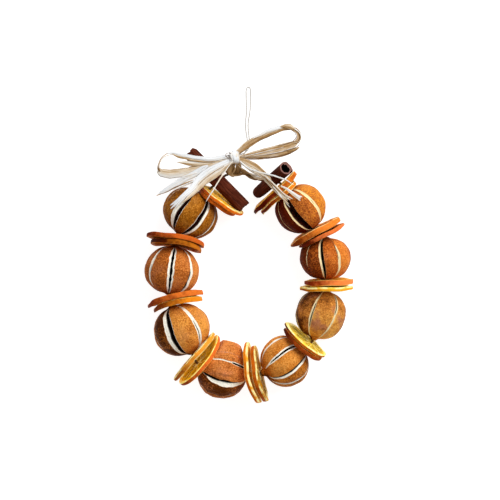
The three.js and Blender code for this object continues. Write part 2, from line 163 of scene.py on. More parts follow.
camera = add_camera()
add_lamp("key", (0.75, 0.78, 1.1), 1.1, 26.0, (1.0, 0.985, 0.96))
add_lamp("fill", (-0.5, -0.1, 1.4), 1.4, 4.0, (0.97, 0.985, 1.0))
add_floor()
add_sky()
bpy.context.scene.view_settings.view_transform = "Standard"
print("camera at", [round(value, 3) for value in camera.location])

# %% [markdown]
# ## Smooth routes
#
# Strings, cords and strips of raffia are all bent along a route: a few given points and a smooth
# curve through them. The curve is the centripetal Catmull-Rom kind, which never loops back on
# itself between two points, and it is the one that the construction used.

# %% Smooth routes


def smooth_route(points, steps):
    """Points on the curve, steps + 1 of them. Each stretch is a cubic between two given points,
    whose directions there come from the neighbours, weighed by the square root of the gaps."""
    points = np.asarray(points, float)
    before = 2 * points[0] - points[1]
    after = 2 * points[-1] - points[-2]
    padded = np.vstack([before, points, after])
    gaps = np.sqrt(np.linalg.norm(np.diff(padded, axis=0), axis=1))
    at = np.linspace(0, len(points) - 1, steps + 1)
    cell = np.minimum(at.astype(int), len(points) - 2)
    part = (at - cell)[:, None]
    p0, p1, p2, p3 = (padded[cell + k] for k in range(4))
    g0, g1, g2 = (gaps[cell + k][:, None] for k in range(3))
    leave = ((p1 - p0) / g0 - (p2 - p0) / (g0 + g1) + (p2 - p1) / g1) * g1
    arrive = ((p2 - p1) / g1 - (p3 - p1) / (g1 + g2) + (p3 - p2) / g2) * g1
    cubed = 2 * (p1 - p2) + leave + arrive
    squared = 3 * (p2 - p1) - 2 * leave - arrive
    return ((cubed * part + squared) * part + leave) * part + p1


def lengths_along(route):
    """Distance from the start of a route to each of its points."""
    steps = np.linalg.norm(np.diff(route, axis=0), axis=1)
    return np.concatenate([[0.0], np.cumsum(steps)])


def directions(route):
    """Unit direction of a route at each of its points."""
    along = np.gradient(route, axis=0)
    return along / np.linalg.norm(along, axis=1, keepdims=True)


# %% [markdown]
# ## The hanging loop
#
# A thin cord comes out of the knot, drops to the table, runs along it to a narrow eye and comes
# back beside itself. It could be a tube of faces, but a curve object, one open line with a round
# section, stays a cord that can be measured. The section is drawn one metre thick and every
# point of the line shrinks it to the cord's own thickness, because the box that is kept round a
# curve counts the size at its points.

# %% The hanging loop
CORD_RADIUS = 0.55
CORD_ROUTE = [[-9.9, 134.6, 31.4], [-6.6, 136, 31], [-4, 139.5, 28.5], [-2.3, 144, 22.5],
              [-1.7, 148.5, 14.5], [-1.8, 153, 7], [-2.5, 158, 2.2], [-3.2, 163, 0.7],
              [-3.7, 168, 0.6], [-3.3, 175, 0.6], [-2.7, 182, 0.6], [-2.8, 190, 0.6],
              [-2.9, 198, 0.6], [-2.9, 206, 0.6], [-2.3, 208.2, 0.6], [-0.6, 209.2, 0.6],
              [1.1, 208.2, 0.6], [1.7, 206, 0.6], [1.6, 198, 0.6], [1.5, 190, 0.6],
              [0.9, 182, 0.6], [-0.4, 175, 0.6], [-0.9, 168, 0.6], [-0.5, 163, 0.7],
              [0, 158, 2.2], [0.3, 153, 7], [0.2, 148.5, 14.5], [-0.3, 144.5, 22.8],
              [-2, 141, 29], [-5.6, 138, 31.8], [-9.9, 136.7, 31.8]]
CORD_STEPS = 300


def add_hanging_loop():
    """The cord as a line of points, each with the cord's radius."""
    route = (smooth_route(CORD_ROUTE, CORD_STEPS) + SHIFT) * MILLIMETRE
    data = bpy.data.curves.new("hanging_cord", "CURVE")
    data.dimensions = "3D"
    data.bevel_depth = 1.0
    data.bevel_resolution = 3
    data.use_fill_caps = True
    line = data.splines.new("POLY")
    line.points.add(len(route) - 1)
    line.points.foreach_set("co", np.column_stack([route, np.ones(len(route))]).ravel())
    line.points.foreach_set("radius", np.full(len(route), CORD_RADIUS * MILLIMETRE))
    cord = add_object("hanging_cord", data)
    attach(cord, "root")
    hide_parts("hanging_loop")
    return cord


hanging_cord = add_hanging_loop()

# %% [markdown]
# ## From a grid of points to a mesh
#
# A surface is a grid: rows one way, columns the other. Neighbouring points make a four-sided
# face. The last column always joins the first, as round a tube, and the last row may too. The
# faces could be turned outwards by hand, but it is safer to measure: if the closed surface turns
# out to hold a negative volume, its faces look inwards, and all of them are turned round.

# %% From a grid to a mesh


def face_corners(rows, columns, join_rows):
    """Row and column numbers of every face's four corners, counted on past the last one."""
    row, column = np.meshgrid(np.arange(rows if join_rows else rows - 1), np.arange(columns),
                              indexing="ij")
    return (np.stack([row, row, row + 1, row + 1], axis=-1),
            np.stack([column, column + 1, column + 1, column], axis=-1))


def grid_faces(rows, columns, join_rows=False):
    """Corner numbers of every face of a grid whose points are counted row by row."""
    row, column = face_corners(rows, columns, join_rows)
    return (row % rows * columns + column % columns).reshape(-1, 4)


def grid_map(rows, columns, across, along, join_rows=False):
    """Texture place of every face corner, worked out before the last row or column is joined."""
    corners = face_corners(rows, columns, join_rows)
    across, along = np.broadcast_arrays(across, along)
    return np.stack([across[corners], along[corners]], axis=-1).reshape(-1, 2)


def volume_of(points, faces):
    """Six times the volume that faces enclose: a sum of boxes spanned by each face's corners."""
    a, b, c, d = (points[faces[:, k]] for k in range(4))
    first = np.einsum("ij,ij->i", a, np.cross(b, c))
    second = np.einsum("ij,ij->i", a, np.cross(c, d))
    return float(np.sum(first + second))


def add_mesh(name, node, points, faces, material, values, texture=None):
    """A piece in place of a frame node, from points in millimetres round the middle of the ring.
    Prints how far it stands proud of the node on each side."""
    points = (points.reshape(-1, 3) + SHIFT) * MILLIMETRE
    if volume_of(points - points.mean(axis=0), faces) < 0:
        faces = faces[:, ::-1]
        texture = None if texture is None else texture.reshape(-1, 4, 2)[:, ::-1]
    mesh = bpy.data.meshes.new(name)
    mesh.vertices.add(len(points))
    mesh.vertices.foreach_set("co", points.ravel())
    mesh.loops.add(faces.size)
    mesh.loops.foreach_set("vertex_index", np.ascontiguousarray(faces).ravel())
    mesh.polygons.add(len(faces))
    mesh.polygons.foreach_set("loop_start", np.arange(0, faces.size, 4))
    mesh.update(calc_edges=True)
    mesh.polygons.foreach_set("use_smooth", np.ones(len(faces), bool))
    if texture is not None:
        layer = mesh.uv_layers.new(name="texture_place")
        layer.data.foreach_set("uv", np.ascontiguousarray(texture).ravel())
    for key, value in values.items():
        attribute = mesh.attributes.new(key, "FLOAT", "POINT")
        attribute.data.foreach_set("value", value.ravel())
    mesh.materials.append(material)
    piece = add_object(name, mesh)
    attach(piece, "root")
    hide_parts(node)
    low, high = (np.array(corner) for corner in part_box(node))
    proud = np.maximum(low - points.min(axis=0), points.max(axis=0) - high) / MILLIMETRE
    print(f"{node}: {len(faces)} faces, proud by {proud.round(1)} mm")


# %% [markdown]
# ## Unevenness
#
# Nothing grown or dried is even. A random number for each point would make dust, so the
# unevenness is a smooth field: a random number at each corner of a lattice of cubes, blended
# between the corners. It depends only on the place, so it is the same each time, and two faces
# that meet get the same value.

# %% Unevenness
HASH_STEPS = np.array([73856093, 19349663, 83492791])
HASH_SEED = 7919
HASH_MIX = 1274126177
SEED_SHIFT = 13.7


def unevenness(points, size, seed):
    """A smooth random value from -1 to 1 at each point; size is the width of its bumps."""
    place = points / size + seed * SEED_SHIFT
    cell = np.floor(place).astype(np.int64)
    part = place - cell
    part = part * part * (3 - 2 * part)
    total = 0.0
    for corner in itertools.product((0, 1), repeat=points.shape[-1]):
        key = (cell + corner) @ HASH_STEPS[:points.shape[-1]] + seed * HASH_SEED
        key = (key ^ (key >> 13)) * HASH_MIX
        key = (key ^ (key >> 16)) & 0xFFFF
        weight = np.prod(np.where(np.array(corner) == 1, part, 1 - part), axis=-1)
        total = total + weight * (key / 32767.5 - 1)
    return total


def turned(points, *turns):
    """Points turned about X, Y or Z in the order given, as pairs of an axis and degrees."""
    for axis, angle in turns:
        a, b = [(1, 2), (2, 0), (0, 1)]["XYZ".index(axis)]
        cosine = math.cos(math.radians(angle))
        sine = math.sin(math.radians(angle))
        result = points.copy()
        result[..., a] = cosine * points[..., a] - sine * points[..., b]
        result[..., b] = sine * points[..., a] + cosine * points[..., b]
        points = result
    return points


# %% [markdown]
# ## A shorthand for materials
#
# A material is a chain of nodes: patterns, colour ramps and mixes that end in one shader. They
# could be set one by one, but the class below adds a node for each call and hands back its
# output, so that a material reads as a recipe. Patterns read the object's own coordinates, in
# metres, so a scale of 100 makes bumps of about a centimetre, or the texture place of each face.

# %% A shorthand for materials


def paint(red, green, blue):
    """A colour given as screen values from 0 to 255, as the light values that a shader needs."""
    screen = np.array([red, green, blue]) / 255
    light = np.where(screen <= 0.04045, screen / 12.92, ((screen + 0.055) / 1.055) ** 2.4)
    return (*light.tolist(), 1.0)


class Recipe:
    """One material's nodes, added a step at a time."""

    def __init__(self, name, roughness, specular):
        self.material = bpy.data.materials.new(name)
        self.material.use_nodes = True
        self.tree = self.material.node_tree
        self.shader = self.tree.nodes["Principled BSDF"]
        self.fill(self.shader, {"Roughness": roughness, "Specular IOR Level": specular})
        self.place = self.add("TexCoord", {}).outputs["Object"]
        self.texture = self.add("UVMap", {}, uv_map="texture_place").outputs["UV"]

    def fill(self, node, inputs):
        """Sets a node's inputs, or joins them to what another node hands back."""
        for key, value in inputs.items():
            if isinstance(value, bpy.types.NodeSocket):
                self.tree.links.new(value, node.inputs[key])
            else:
                node.inputs[key].default_value = value

    def add(self, kind, inputs, **settings):
        """A new node with these inputs and settings."""
        node = self.tree.nodes.new("ShaderNode" + kind)
        for key, value in settings.items():
            setattr(node, key, value)
        self.fill(node, inputs)
        return node

    def stretch(self, vector, scale, shift=(0, 0, 0)):
        """A pattern's place scaled and shifted, each direction by its own number."""
        inputs = {"Vector": vector, "Scale": scale, "Location": shift}
        return self.add("Mapping", inputs).outputs["Vector"]

    def noise(self, vector, scale, detail=3.0, distortion=0.0):
        """A cloudy pattern whose values lie round 0.5."""
        inputs = {"Vector": vector, "Scale": scale, "Detail": detail, "Distortion": distortion}
        return self.add("TexNoise", inputs).outputs["Fac"]

    def cells(self, scale):
        """Distance to the nearest of many scattered points."""
        return self.add("TexVoronoi", {"Vector": self.place, "Scale": scale}).outputs["Distance"]

    def value(self, name):
        """A value that the mesh carries."""
        return self.add("Attribute", {}, attribute_name=name).outputs["Fac"]

    def part(self, vector):
        """The two directions of a texture place, separately."""
        return self.add("SeparateXYZ", {0: vector}).outputs[:2]

    def grain(self, across, along, finer, coarser):
        """A pattern's place, with the two directions multiplied each by its own number."""
        across = self.sum("MULTIPLY", across, finer)
        inputs = {"X": across, "Y": self.sum("MULTIPLY", along, coarser)}
        return self.add("CombineXYZ", inputs).outputs[0]

    def sum(self, kind, first, second=0.0, third=0.0):
        """A calculation with up to three numbers."""
        return self.add("Math", {0: first, 1: second, 2: third}, operation=kind).outputs[0]

    def vary(self, value, noise, amount):
        """The value plus the noise, whose middle is 0.5, spread about 0 by the amount."""
        return self.sum("ADD", value, self.sum("MULTIPLY_ADD", noise, amount, -0.5 * amount))

    def blend(self, first, share, second, other_share):
        """Two patterns added, each with its share."""
        first = self.sum("MULTIPLY", first, share)
        return self.sum("ADD", first, self.sum("MULTIPLY", second, other_share))

    def fit(self, value, low, high, to_low=0.0, to_high=1.0):
        """The value carried from one range to another, smoothly and not past its ends."""
        inputs = {"Value": value, "From Min": low, "From Max": high, "To Min": to_low,
                  "To Max": to_high}
        return self.add("MapRange", inputs, interpolation_type="SMOOTHSTEP").outputs["Result"]

    def ramp(self, value, *stops):
        """A colour ramp through stops, each a place from 0 to 1 and a colour."""
        node = self.add("ValToRGB", {"Fac": value})
        elements = node.color_ramp.elements
        for element, (place, colour) in zip(elements, (stops[0], stops[-1])):
            element.position = place
            element.color = colour
        for place, colour in stops[1:-1]:
            elements.new(place).color = colour
        return node.outputs["Color"]

    def mix(self, amount, first, second):
        """The first colour where the amount is 0, the second where it is 1."""
        return self.add("Mix", {0: amount, 6: first, 7: second}, data_type="RGBA").outputs[2]

    def bump(self, height, depth, normal=None):
        """Relief of that depth in millimetres where the height goes from 0 to 1."""
        inputs = {"Distance": depth * MILLIMETRE, "Height": height}
        if normal is not None:
            inputs["Normal"] = normal
        return self.add("Bump", inputs).outputs["Normal"]

    def finish(self, colour, normal=None):
        """Gives the shader its colour and relief, and hands back the material."""
        self.fill(self.shader, {"Base Color": colour})
        if normal is not None:
            self.fill(self.shader, {"Normal": normal})
        return self.material


# %% [markdown]
# ## Rind
#
# Dried rind is leathery: brown to orange in patches, and dotted with the pores of its oil glands,
# about a millimetre apart. Each segment has a lightness of its own, partly the rind's own colour
# and partly painted shade that makes the segments on the side away from the lamp darker, and the
# rind is darker towards both ends of the core. Where it is slit the pale pith shows, with an
# orange tinge beside the rind, and the inside is nearly black: dark flesh under painted shadow.
# Three materials with hard edges could do it, but the changes are gradual, so it is one, and the
# mesh carries three values for it: tone, how light the rind of that segment is; pith, where the
# cut wall is; and inside.

# %% Rind
PORE = 1.25
PITH_PALE = (255, 252, 240)
PITH_SHADE = paint(236, 224, 194)
PITH_RUST = paint(206, 130, 56)
# inside the slits: near-black painted shadow, and a default lining of dark flesh darkened by
# painted shadow
INSIDE_PAINTED_SHADOW = paint(8, 4, 3)
INSIDE_BROWN_AND_SHADOW = (24, 12, 8)
# scales of the patterns
RIND_PATCHES, RIND_MOTTLE, RIND_SPECKLE_AND_GLINTS, RIND_BLOOM_AND_SHEEN = 55, 380, 800, 60
PITH_FLECKS, INSIDE_FINS = 900, 420


def rind_material(name, dark, middle, light, bloom, pith_pale, lining, cover, patchy, grain):
    """Skin coloured by its tone, speckled partly by grain and partly by painted glints, with dull
    patches of bloom and painted sheen on its lighter parts, and pitted; over it the pith, and over
    that the inside.
    """
    recipe = Recipe(name, roughness=0.5, specular=0.015)
    pores = recipe.cells(1 / (PORE * MILLIMETRE))
    patches = recipe.noise(recipe.place, RIND_PATCHES, 3.0, 0.4)
    mottle = recipe.noise(recipe.place, RIND_MOTTLE)
    # fine speckle: partly the rind's grain, partly painted glints
    speckle_and_glints = recipe.noise(recipe.place, RIND_SPECKLE_AND_GLINTS)
    tone = recipe.sum("MULTIPLY_ADD", patches, patchy, -0.5 * patchy)
    tone = recipe.vary(tone, mottle, 0.5)
    tone = recipe.vary(tone, speckle_and_glints, grain)
    tone = recipe.sum("ADD", tone, recipe.value("tone"))
    skin = recipe.ramp(tone, (0.0, dark), (0.5, middle), (1.0, light))
    # dull patches on the lighter rind: partly bloom, partly painted sheen
    elsewhere = recipe.stretch(recipe.place, (1, 1, 1), (3, 1, 2))
    bloom_and_sheen_noise = recipe.noise(elsewhere, RIND_BLOOM_AND_SHEEN, 2.0)
    bloom_and_sheen_mask = recipe.sum("MULTIPLY", recipe.fit(bloom_and_sheen_noise, 0.5, 0.72, 0.0, cover),
                       recipe.fit(tone, 0.1, 0.4))
    skin = recipe.mix(bloom_and_sheen_mask, skin, bloom)
    pitted = recipe.fit(pores, 0.12, 0.5)
    skin = recipe.mix(recipe.fit(pores, 0.05, 0.4, 0.6, 0.0), skin, dark)
    flecks = recipe.noise(recipe.place, PITH_FLECKS, 2.0)
    pale = recipe.mix(recipe.fit(flecks, 0.45, 0.8), pith_pale, PITH_SHADE)
    pith = recipe.value("pith")
    pale = recipe.mix(recipe.fit(pith, 0.3, 0.6), PITH_RUST, pale)
    colour = recipe.mix(recipe.fit(pith, 0.25, 0.4), skin, pale)
    fins = recipe.noise(recipe.place, INSIDE_FINS, 2.0, 0.5)
    # the inside of a slit: the lining's flesh mixed with near-black painted shadow
    hollow = recipe.mix(recipe.fit(fins, 0.42, 0.6), INSIDE_PAINTED_SHADOW, lining)
    colour = recipe.mix(recipe.fit(recipe.value("inside"), 0.2, 0.7), colour, hollow)
    return recipe.finish(colour, recipe.bump(speckle_and_glints, 0.4, recipe.bump(pitted, 0.3)))


# %% [markdown]
# ## Whole oranges
#
# An orange is an egg round its core, and the string runs through the core. The slits could be cut
# out of a ball, but their edges would then be ragged or the mesh very fine. Instead the grid
# follows them: going round the core, the surface is a chain of lobes and slits. Each slit is a
# small valley profile: the rolled lip of the rind, a slope of pith, a steep wall, the dark
# bottom, and the same back up. The profile is carried from end to end of the orange, opening in
# the middle and closing towards both ends.

# %% The oranges' sizes
# x, y: middle. turn: direction of the core. head, tail: core length before and after the middle.
# wide, high: size across the ring and through it. lift: degrees that the head is raised.
# slits: longitude from the front to the outside of the ring, drift along the core, gap, and width
# of the pith that shows before and after the gap; then, if the slit is not open all the way, where
# along the core the gap is widest and how far from there it closes, and the same for the pith.
# tones: lightness of the lobe before the first slit and after each, partly the rind's own colour
# and partly painted shade, darker on the side away from the lamp. rind: its dark, middle and light
# colours. bloom: colour of the dull patches on the lighter rind, partly bloom and partly
# painted sheen, and how much of it they cover.
# ragged: how uneven the edges of the slits are. pressed: sides dried flat against a neighbour.
# pith, lining: colour of the cut wall and of the inside, whose near-black default is dark flesh
# under painted shadow. patchy, grain: how strong the dark and light patches and the speckle are;
# the speckle is partly painted glints. creases: depth of the lengthwise folds. puckers: how far
# the rind stands out round the string at the core's two ends.
Orange = namedtuple("Orange", "x y turn head tail wide high lift slits tones ragged rind bloom "
                    "pressed pith lining patchy grain creases puckers",
                    defaults=[(), PITH_PALE, INSIDE_BROWN_AND_SHADOW, 1.0, 1.7, 0.3, (0, 0)])
ORANGES = [
    Orange(-60.8, 76.5, -124, 23.5, 26.5, 57.3, 55, 0, slits=[(-66, 0, 1.4, 0.3, 1.2),
           (-25, 3, 4.2, 2.8, 0.8), (20, 3, 4.4, 0.7, 4.6, 0.4, 1.05, 0.4, 0.9),
           (72, 0, 0.3, 0.3, 0.4)], tones=[0.5, 0.5, 0.5, 0.36, 0.35], ragged=0.12,
           rind=[(84, 42, 2), (158, 92, 18), (212, 140, 54)], bloom=[(190, 130, 64), 0.4],
           pressed=[(55, 8, 22)], lining=(56, 20, 14), puckers=(0, 1.5)),
    Orange(-81, 14.5, -98, 26.5, 24.5, 54.4, 55, 0, slits=[(-46, 0, 2.4, 2.7, 0.5, 0.45, 0.6),
           (0, 0, 2.6, 2.0, 2.3), (54, 5, 0.2, 1.9, 1.9, 0, 0.2, -0.2, 0.95)], tones=[0.85, 0.55,
           0.42, 0.34], ragged=0.5, rind=[(94, 40, 8), (184, 100, 38), (232, 148, 74)],
           bloom=[(196, 118, 74), 0.4], pressed=[(-76, 0, 23.8)], patchy=0.7, puckers=(3, 2.5)),
    Orange(-70.5, -47.6, -67, 27.5, 26, 57.5, 56, 0, slits=[(-35, -7, 0.9, 2.4, 1.8, 0.4, 0.6),
           (22, 3, 5.2, 0.7, 4.3)], tones=[0.85, 0.75, 0.0], ragged=0.1, rind=[(76, 34, 6),
           (190, 108, 38), (240, 164, 74)], bloom=[(222, 148, 86), 0.4], pressed=[(-41, 0, 25.5)],
           lining=(40, 24, 14), puckers=(2.5, 3)),
    Orange(-28, -88, -12, 26, 28, 59.5, 57, 0, slits=[(-59, -2, 0.1, 0.15, 0.1, 0, 0.1),
           (-38, 0, 0.1, 0.1, 0.1, 0, 0.1, 0.2, 0.6), (-19.5, 1, 2.4, 0.9, 0.5, 0.75, 0.45),
           (22.5, 6, 2.8, 0.2, 4.8, -0.15, 0.85, 0.45, 1.0)], tones=[0.66, 0.64, 0.58, 0.6, 0.06],
           ragged=0.4, rind=[(92, 42, 6), (194, 108, 46), (240, 154, 80)], bloom=[(222, 140, 96),
           0.5], pressed=[(140.5, 8.5, 18.2), (11, 3, 23.6)], creases=0.75),
    Orange(39, -79.5, 28, 26.5, 22, 52.5, 53, 10, slits=[(-66, 0, 0.2, 2.2, 1.4),
           (-23, -5, 2.1, 1.5, 1.8, 0.35, 1.1), (24, -12, 1.9, 0.3, 2.3), (65, 0, 0.2, 2.0, 1.2)],
           tones=[0.6, 0.66, 0.6, 0.34, 0.45], ragged=0.15, rind=[(88, 40, 4), (204, 119, 38),
           (250, 176, 86)], bloom=[(226, 162, 84), 0.25], pressed=[(51, 7, 20.9)], grain=1.2,
           puckers=(6, 0)),
    Orange(75.4, -30.5, 74, 26.5, 25.5, 51.2, 52, 0, slits=[(-76, 0, 1.2, 1.4, 1.0),
           (-22, 3, 1.1, 1.2, 1.0, -0.1, 0.5), (32, 7, 1.4, 1.2, 1.1, 0.6, 0.5)], tones=[-0.02,
           0.12, 0.54, 0.72], ragged=0.15, rind=[(72, 30, 6), (192, 120, 50), (250, 186, 88)],
           bloom=[(176, 110, 84), 0.8], pith=(232, 216, 170), patchy=2.0, grain=1.1,
           puckers=(4.5, 2)),
    Orange(80.3, 28.5, 89, 23, 21.6, 51.4, 52, 0,
           slits=[(-50, 3, 0.1, 0.7, 0.6, 0, 0.1, 0.1, 0.55), (-8, -10, 2.8, 2.0, 0.2),
           (30, -12, 0.9, 0.6, 2.6, 0.5, 0.6, -0.2, 0.85)], tones=[-0.05, 0.1, 0.44, 0.76],
           ragged=0.12, rind=[(92, 34, 8), (190, 98, 34), (236, 146, 60)], bloom=[(206, 124, 74),
           0.3], pressed=[(117, 4, 20.5)], pith=(238, 220, 172), patchy=0.55, creases=0.5,
           puckers=(2.5, 2.5)),
    Orange(53.3, 81.4, 126, 26.5, 22.5, 51.8, 53, -8, slits=[(-64, 0, 0.2, 0.4, 0.4),
           (-21, -4, 7.6, 1.5, 0.2), (33, -5, 0.2, 1.8, 1.8, 0, 0.1)], tones=[-0.2, -0.15, 0.44,
           0.66], ragged=0.05, rind=[(84, 22, 4), (188, 104, 42), (240, 160, 48)],
           bloom=[(214, 140, 76), 0.2], pressed=[(130, 3, 19.9)], pith=(248, 226, 170),
           lining=(70, 26, 16), patchy=0.6),
]

# %% Where the slits are
WHOLE_WAY = (0, 9.0)
SLIT_SPACING = 50
BACK_SLIT = (0, 0.5, 0.25, 0.25)
BACK_TONE = 0.4


def slits_round(spec):
    """The slits given for an orange and its back ones, spaced evenly over what is left."""
    first = spec.slits[0][0] + 360
    last = spec.slits[-1][0]
    count = round((first - last) / SLIT_SPACING) - 1
    back = [(last + (first - last) * (k + 1) / (count + 1), *BACK_SLIT) for k in range(count)]
    return spec.slits + back, spec.tones[1:] + [BACK_TONE] * (count - 1) + spec.tones[:1]


def opened(part, middle, reach):
    """How far a slit is open along the core: 1 at its middle, and a quarter circle to each end."""
    return np.sqrt(np.clip(1 - ((part - middle) / reach) ** 2, 0, 1))


# %% The profile of a slit
LIP_RISE = 0.45
LIP_WIDTH = 1.3
PITH_SLOPE = 0.16
EDGE_DROP = 0.1
WALL_DROP = 0.3
CLOSED_HALF = 0.04
SLIT_FLOOR = 9.0
FLOOR_POWER = 0.7
EDGE_BUMPS = 3.2
STRAY = 0.5
STRAY_LENGTH = 9.0
PITH_ACROSS = np.array([0, 0, 0.2, 0.6, 1, 1, 1, 1, 0.6, 0.4, 0.6, 1, 1, 1, 1, 0.6, 0.2, 0, 0])
INSIDE_ACROSS = np.array([0, 0, 0, 0, 0, 0, 0.5, 1, 1, 1, 1, 1, 0.5, 0, 0, 0, 0, 0, 0])


def slit_side(half, width, slope, opening, brink, floor):
    """One side of a slit: distances from its middle, and depths. From the rolled lip, the pith
    slopes down over its width, and from the brink the wall drops towards the floor."""
    rise = LIP_RISE * opening
    away = [half + width + LIP_WIDTH * opening + 0.05, half + width + 0.45 * opening,
            half + width, half + 0.93 * width, half + 0.6 * width, half + 0.25 * width,
            half, half * 0.8, half * 0.45]
    depth = [-0.6 * rise, -rise, -0.75 * rise, 0.1 * slope, 0.45 * slope, 0.8 * slope,
             slope + WALL_DROP * opening, brink + 0.4 * floor, brink + 0.8 * floor]
    return away, depth


def slit_profile(opening, gap, gap_open, before, after):
    """Across one slit, for every row: place across it in millimetres, and depth. It goes from
    the lip before the slit down one side to the floor and up the other to the lip after it."""
    half = gap / 2 * gap_open + CLOSED_HALF
    slopes = [PITH_SLOPE * width + EDGE_DROP * opening for width in (before, after)]
    brink = np.maximum(*slopes) + WALL_DROP * opening
    floor = SLIT_FLOOR * gap_open ** FLOOR_POWER
    left, left_depth = slit_side(half, before, slopes[0], opening, brink, floor)
    right, right_depth = slit_side(half, after, slopes[1], opening, brink, floor)
    across = [-place for place in left] + [np.zeros_like(half)] + right[::-1]
    return np.stack(across, 1), np.stack(left_depth + [brink + floor] + right_depth[::-1], 1)


def slit_edges(slit, number, along, part, opening, ragged, seed):
    """The profile of one slit at every row, its widths uneven and each where the slit is open,
    with how far the slit strays from its line and how much of its inside, painted dark as shadow,
    shows."""
    gap, before, after, *where = slit[2:]
    gap_at, pith_at = where[:2] or WHOLE_WAY, where[2:] or WHOLE_WAY
    track = np.stack([along, np.full_like(along, seed * 40.0 + number * 57.0)], 1)
    rough = [unevenness(track + k * 23.0, EDGE_BUMPS, seed + k) for k in range(3)]
    gap_open = opening * opened(part, *gap_at) * (1 + ragged * rough[0])
    pith_open = opening * opened(part, *pith_at)
    profile = slit_profile(opening, gap, gap_open, before * pith_open * (1 + 0.1 * rough[1]),
                           after * pith_open * (1 + 0.1 * rough[2]))
    wander = unevenness(track + 31.0, STRAY_LENGTH, seed) * STRAY
    return wander, np.clip(gap_open * 3, 0, 1)[:, None], *profile


# %% The oranges' surface
ORANGE_ROWS = 112
LOBE_STEP = 1.1
BULGE = 1.1
FULLNESS = 0.86
CORE_HOLE = 2.6
OPENING_REACH = 1.04
OPENING_POWER = 3.6
OPENING_CURVE = 0.6
LEAST_GIRTH = 0.2
DIMPLE = 1.2
DIMPLE_GIRTH = 0.3
PUCKER_GIRTH = 0.13
PUCKER_PULL = 1.3
END_SHADE = 0.25
END_GIRTH = 0.45


def lobe_between(begin, end, lift_before, lift_after, fade):
    """The rind between two slits: longitudes in even steps from one lip to the next, and a lift
    that swells as a low arch and runs out of the lips at both edges."""
    count = int(round(float((end - begin).max()) / LOBE_STEP))
    step = (np.arange(1, count + 1) / (count + 1))[None, :]
    swell = (4 * step * (1 - step)) ** 0.8 * BULGE * fade
    return begin + (end - begin) * step, swell + (lift_before * (1 - step) ** 6
                                                  + lift_after * step ** 6)


def orange_surface(spec, seed):
    """Rows go along the core, columns round it. A point is at along = -cos(angle) times the
    core's half length and at sin(angle) ^ fullness times the half width from the core, plus the
    lift of the lobe or less the depth of the slit."""
    slits, tones = slits_round(spec)
    half_wide, half_high = spec.wide / 2, spec.high / 2
    start = math.asin((CORE_HOLE / half_wide) ** (1 / FULLNESS))
    angle = np.linspace(start, math.pi - start, ORANGE_ROWS)
    girth = np.sin(angle)[:, None] ** FULLNESS
    part = -np.cos(angle)
    along = part * np.where(angle < math.pi / 2, spec.head, spec.tail)
    fade = (girth - girth[0]) / (1 - girth[0])
    opening = np.clip(1 - np.abs(part * OPENING_REACH) ** OPENING_POWER, 0, 1) ** OPENING_CURVE
    per_degree = np.radians(half_wide * np.maximum(girth, LEAST_GIRTH))
    valleys = []
    for number, slit in enumerate(slits):
        wander, dark, across, depth = slit_edges(slit, number, along, part, opening,
                                                 spec.ragged, seed)
        centre = (slit[0] + slit[1] * along / half_wide)[:, None]
        centre = centre + wander[:, None] * fade / per_degree
        valleys.append((centre + across / per_degree, -depth, dark))
    columns = []
    for number, (places, lift, dark) in enumerate(valleys):
        after, lift_after = valleys[(number + 1) % len(valleys)][:2]
        turn_on = 360 if number == len(valleys) - 1 else 0
        lobe, swell = lobe_between(places[:, -1:], after[:, :1] + turn_on, lift[:, -1:],
                                   lift_after[:, :1], fade)
        half = places.shape[1] // 2
        # each lobe's tone: partly the rind's own colour, partly painted shade on the side away
        # from the lamp
        tone = np.r_[np.full(half, tones[number - 1]), np.full(half + 1, tones[number])]
        # pith and inside across the slit; the inside takes the painted shadow
        columns.append((places, lift, np.tile(tone, (ORANGE_ROWS, 1)),
                        PITH_ACROSS * np.clip(opening * 3, 0, 1)[:, None], INSIDE_ACROSS * dark))
        blank = np.zeros(lobe.shape)
        columns.append((lobe, swell, blank + tones[number], blank, blank))
    longitude, lift, tone, pith, inside = (np.hstack(group) for group in zip(*columns))
    sine, cosine = np.sin(np.radians(longitude)), np.cos(np.radians(longitude))
    along = np.repeat(along[:, None], longitude.shape[1], 1)
    stand = np.where(along < 0, *spec.puckers) * np.exp(-((girth / PUCKER_GIRTH) ** 2))
    sink = (DIMPLE * np.exp(-(girth / DIMPLE_GIRTH) ** 2) - stand * PUCKER_PULL) * np.sign(along)
    tone = tone - END_SHADE * np.exp(-((girth / END_GIRTH) ** 2))
    base = np.stack([along - sink, -half_wide * girth * sine, half_high * girth * cosine], -1)
    outward = np.stack([0 * sine, -sine, cosine], -1)
    dents = 0.9 * unevenness(base, 17.0, seed) + 0.5 * unevenness(base, 8.0, seed + 1)
    creases = base * (0.25, 1, 1)
    dents += (spec.creases * unevenness(creases, 2.6, seed + 2)
              + 0.16 * unevenness(base, 1.7, seed + 5))
    points = base + outward * (lift + dents * fade)[..., None]
    return points, {"tone": tone, "pith": pith, "inside": inside}


# %% Put an orange in its place
CORE_INSET = 5
CORE_NARROW, CORE_NARROWEST = 2.0, 1.8
CLEARANCE = 0.05


def with_core(points, values, spec):
    """Adds the tube through the core that joins the orange's two ends, as a few narrow rows."""
    columns = points.shape[1]
    around = points[0][:, 1:] / np.linalg.norm(points[0][:, 1:], axis=1, keepdims=True)
    tube = ((spec.tail - CORE_INSET, CORE_NARROW), (0, CORE_NARROWEST),
            (CORE_INSET - spec.head, CORE_NARROW))
    rows = [np.column_stack([np.full(columns, along), around * radius]) for along, radius in tube]
    # the core's rows count as inside, so they take its painted shadow too
    values = {key: np.vstack([value, np.full((len(rows), columns), key == "inside", float)])
              for key, value in values.items()}
    return np.concatenate([points, np.stack(rows)]), values


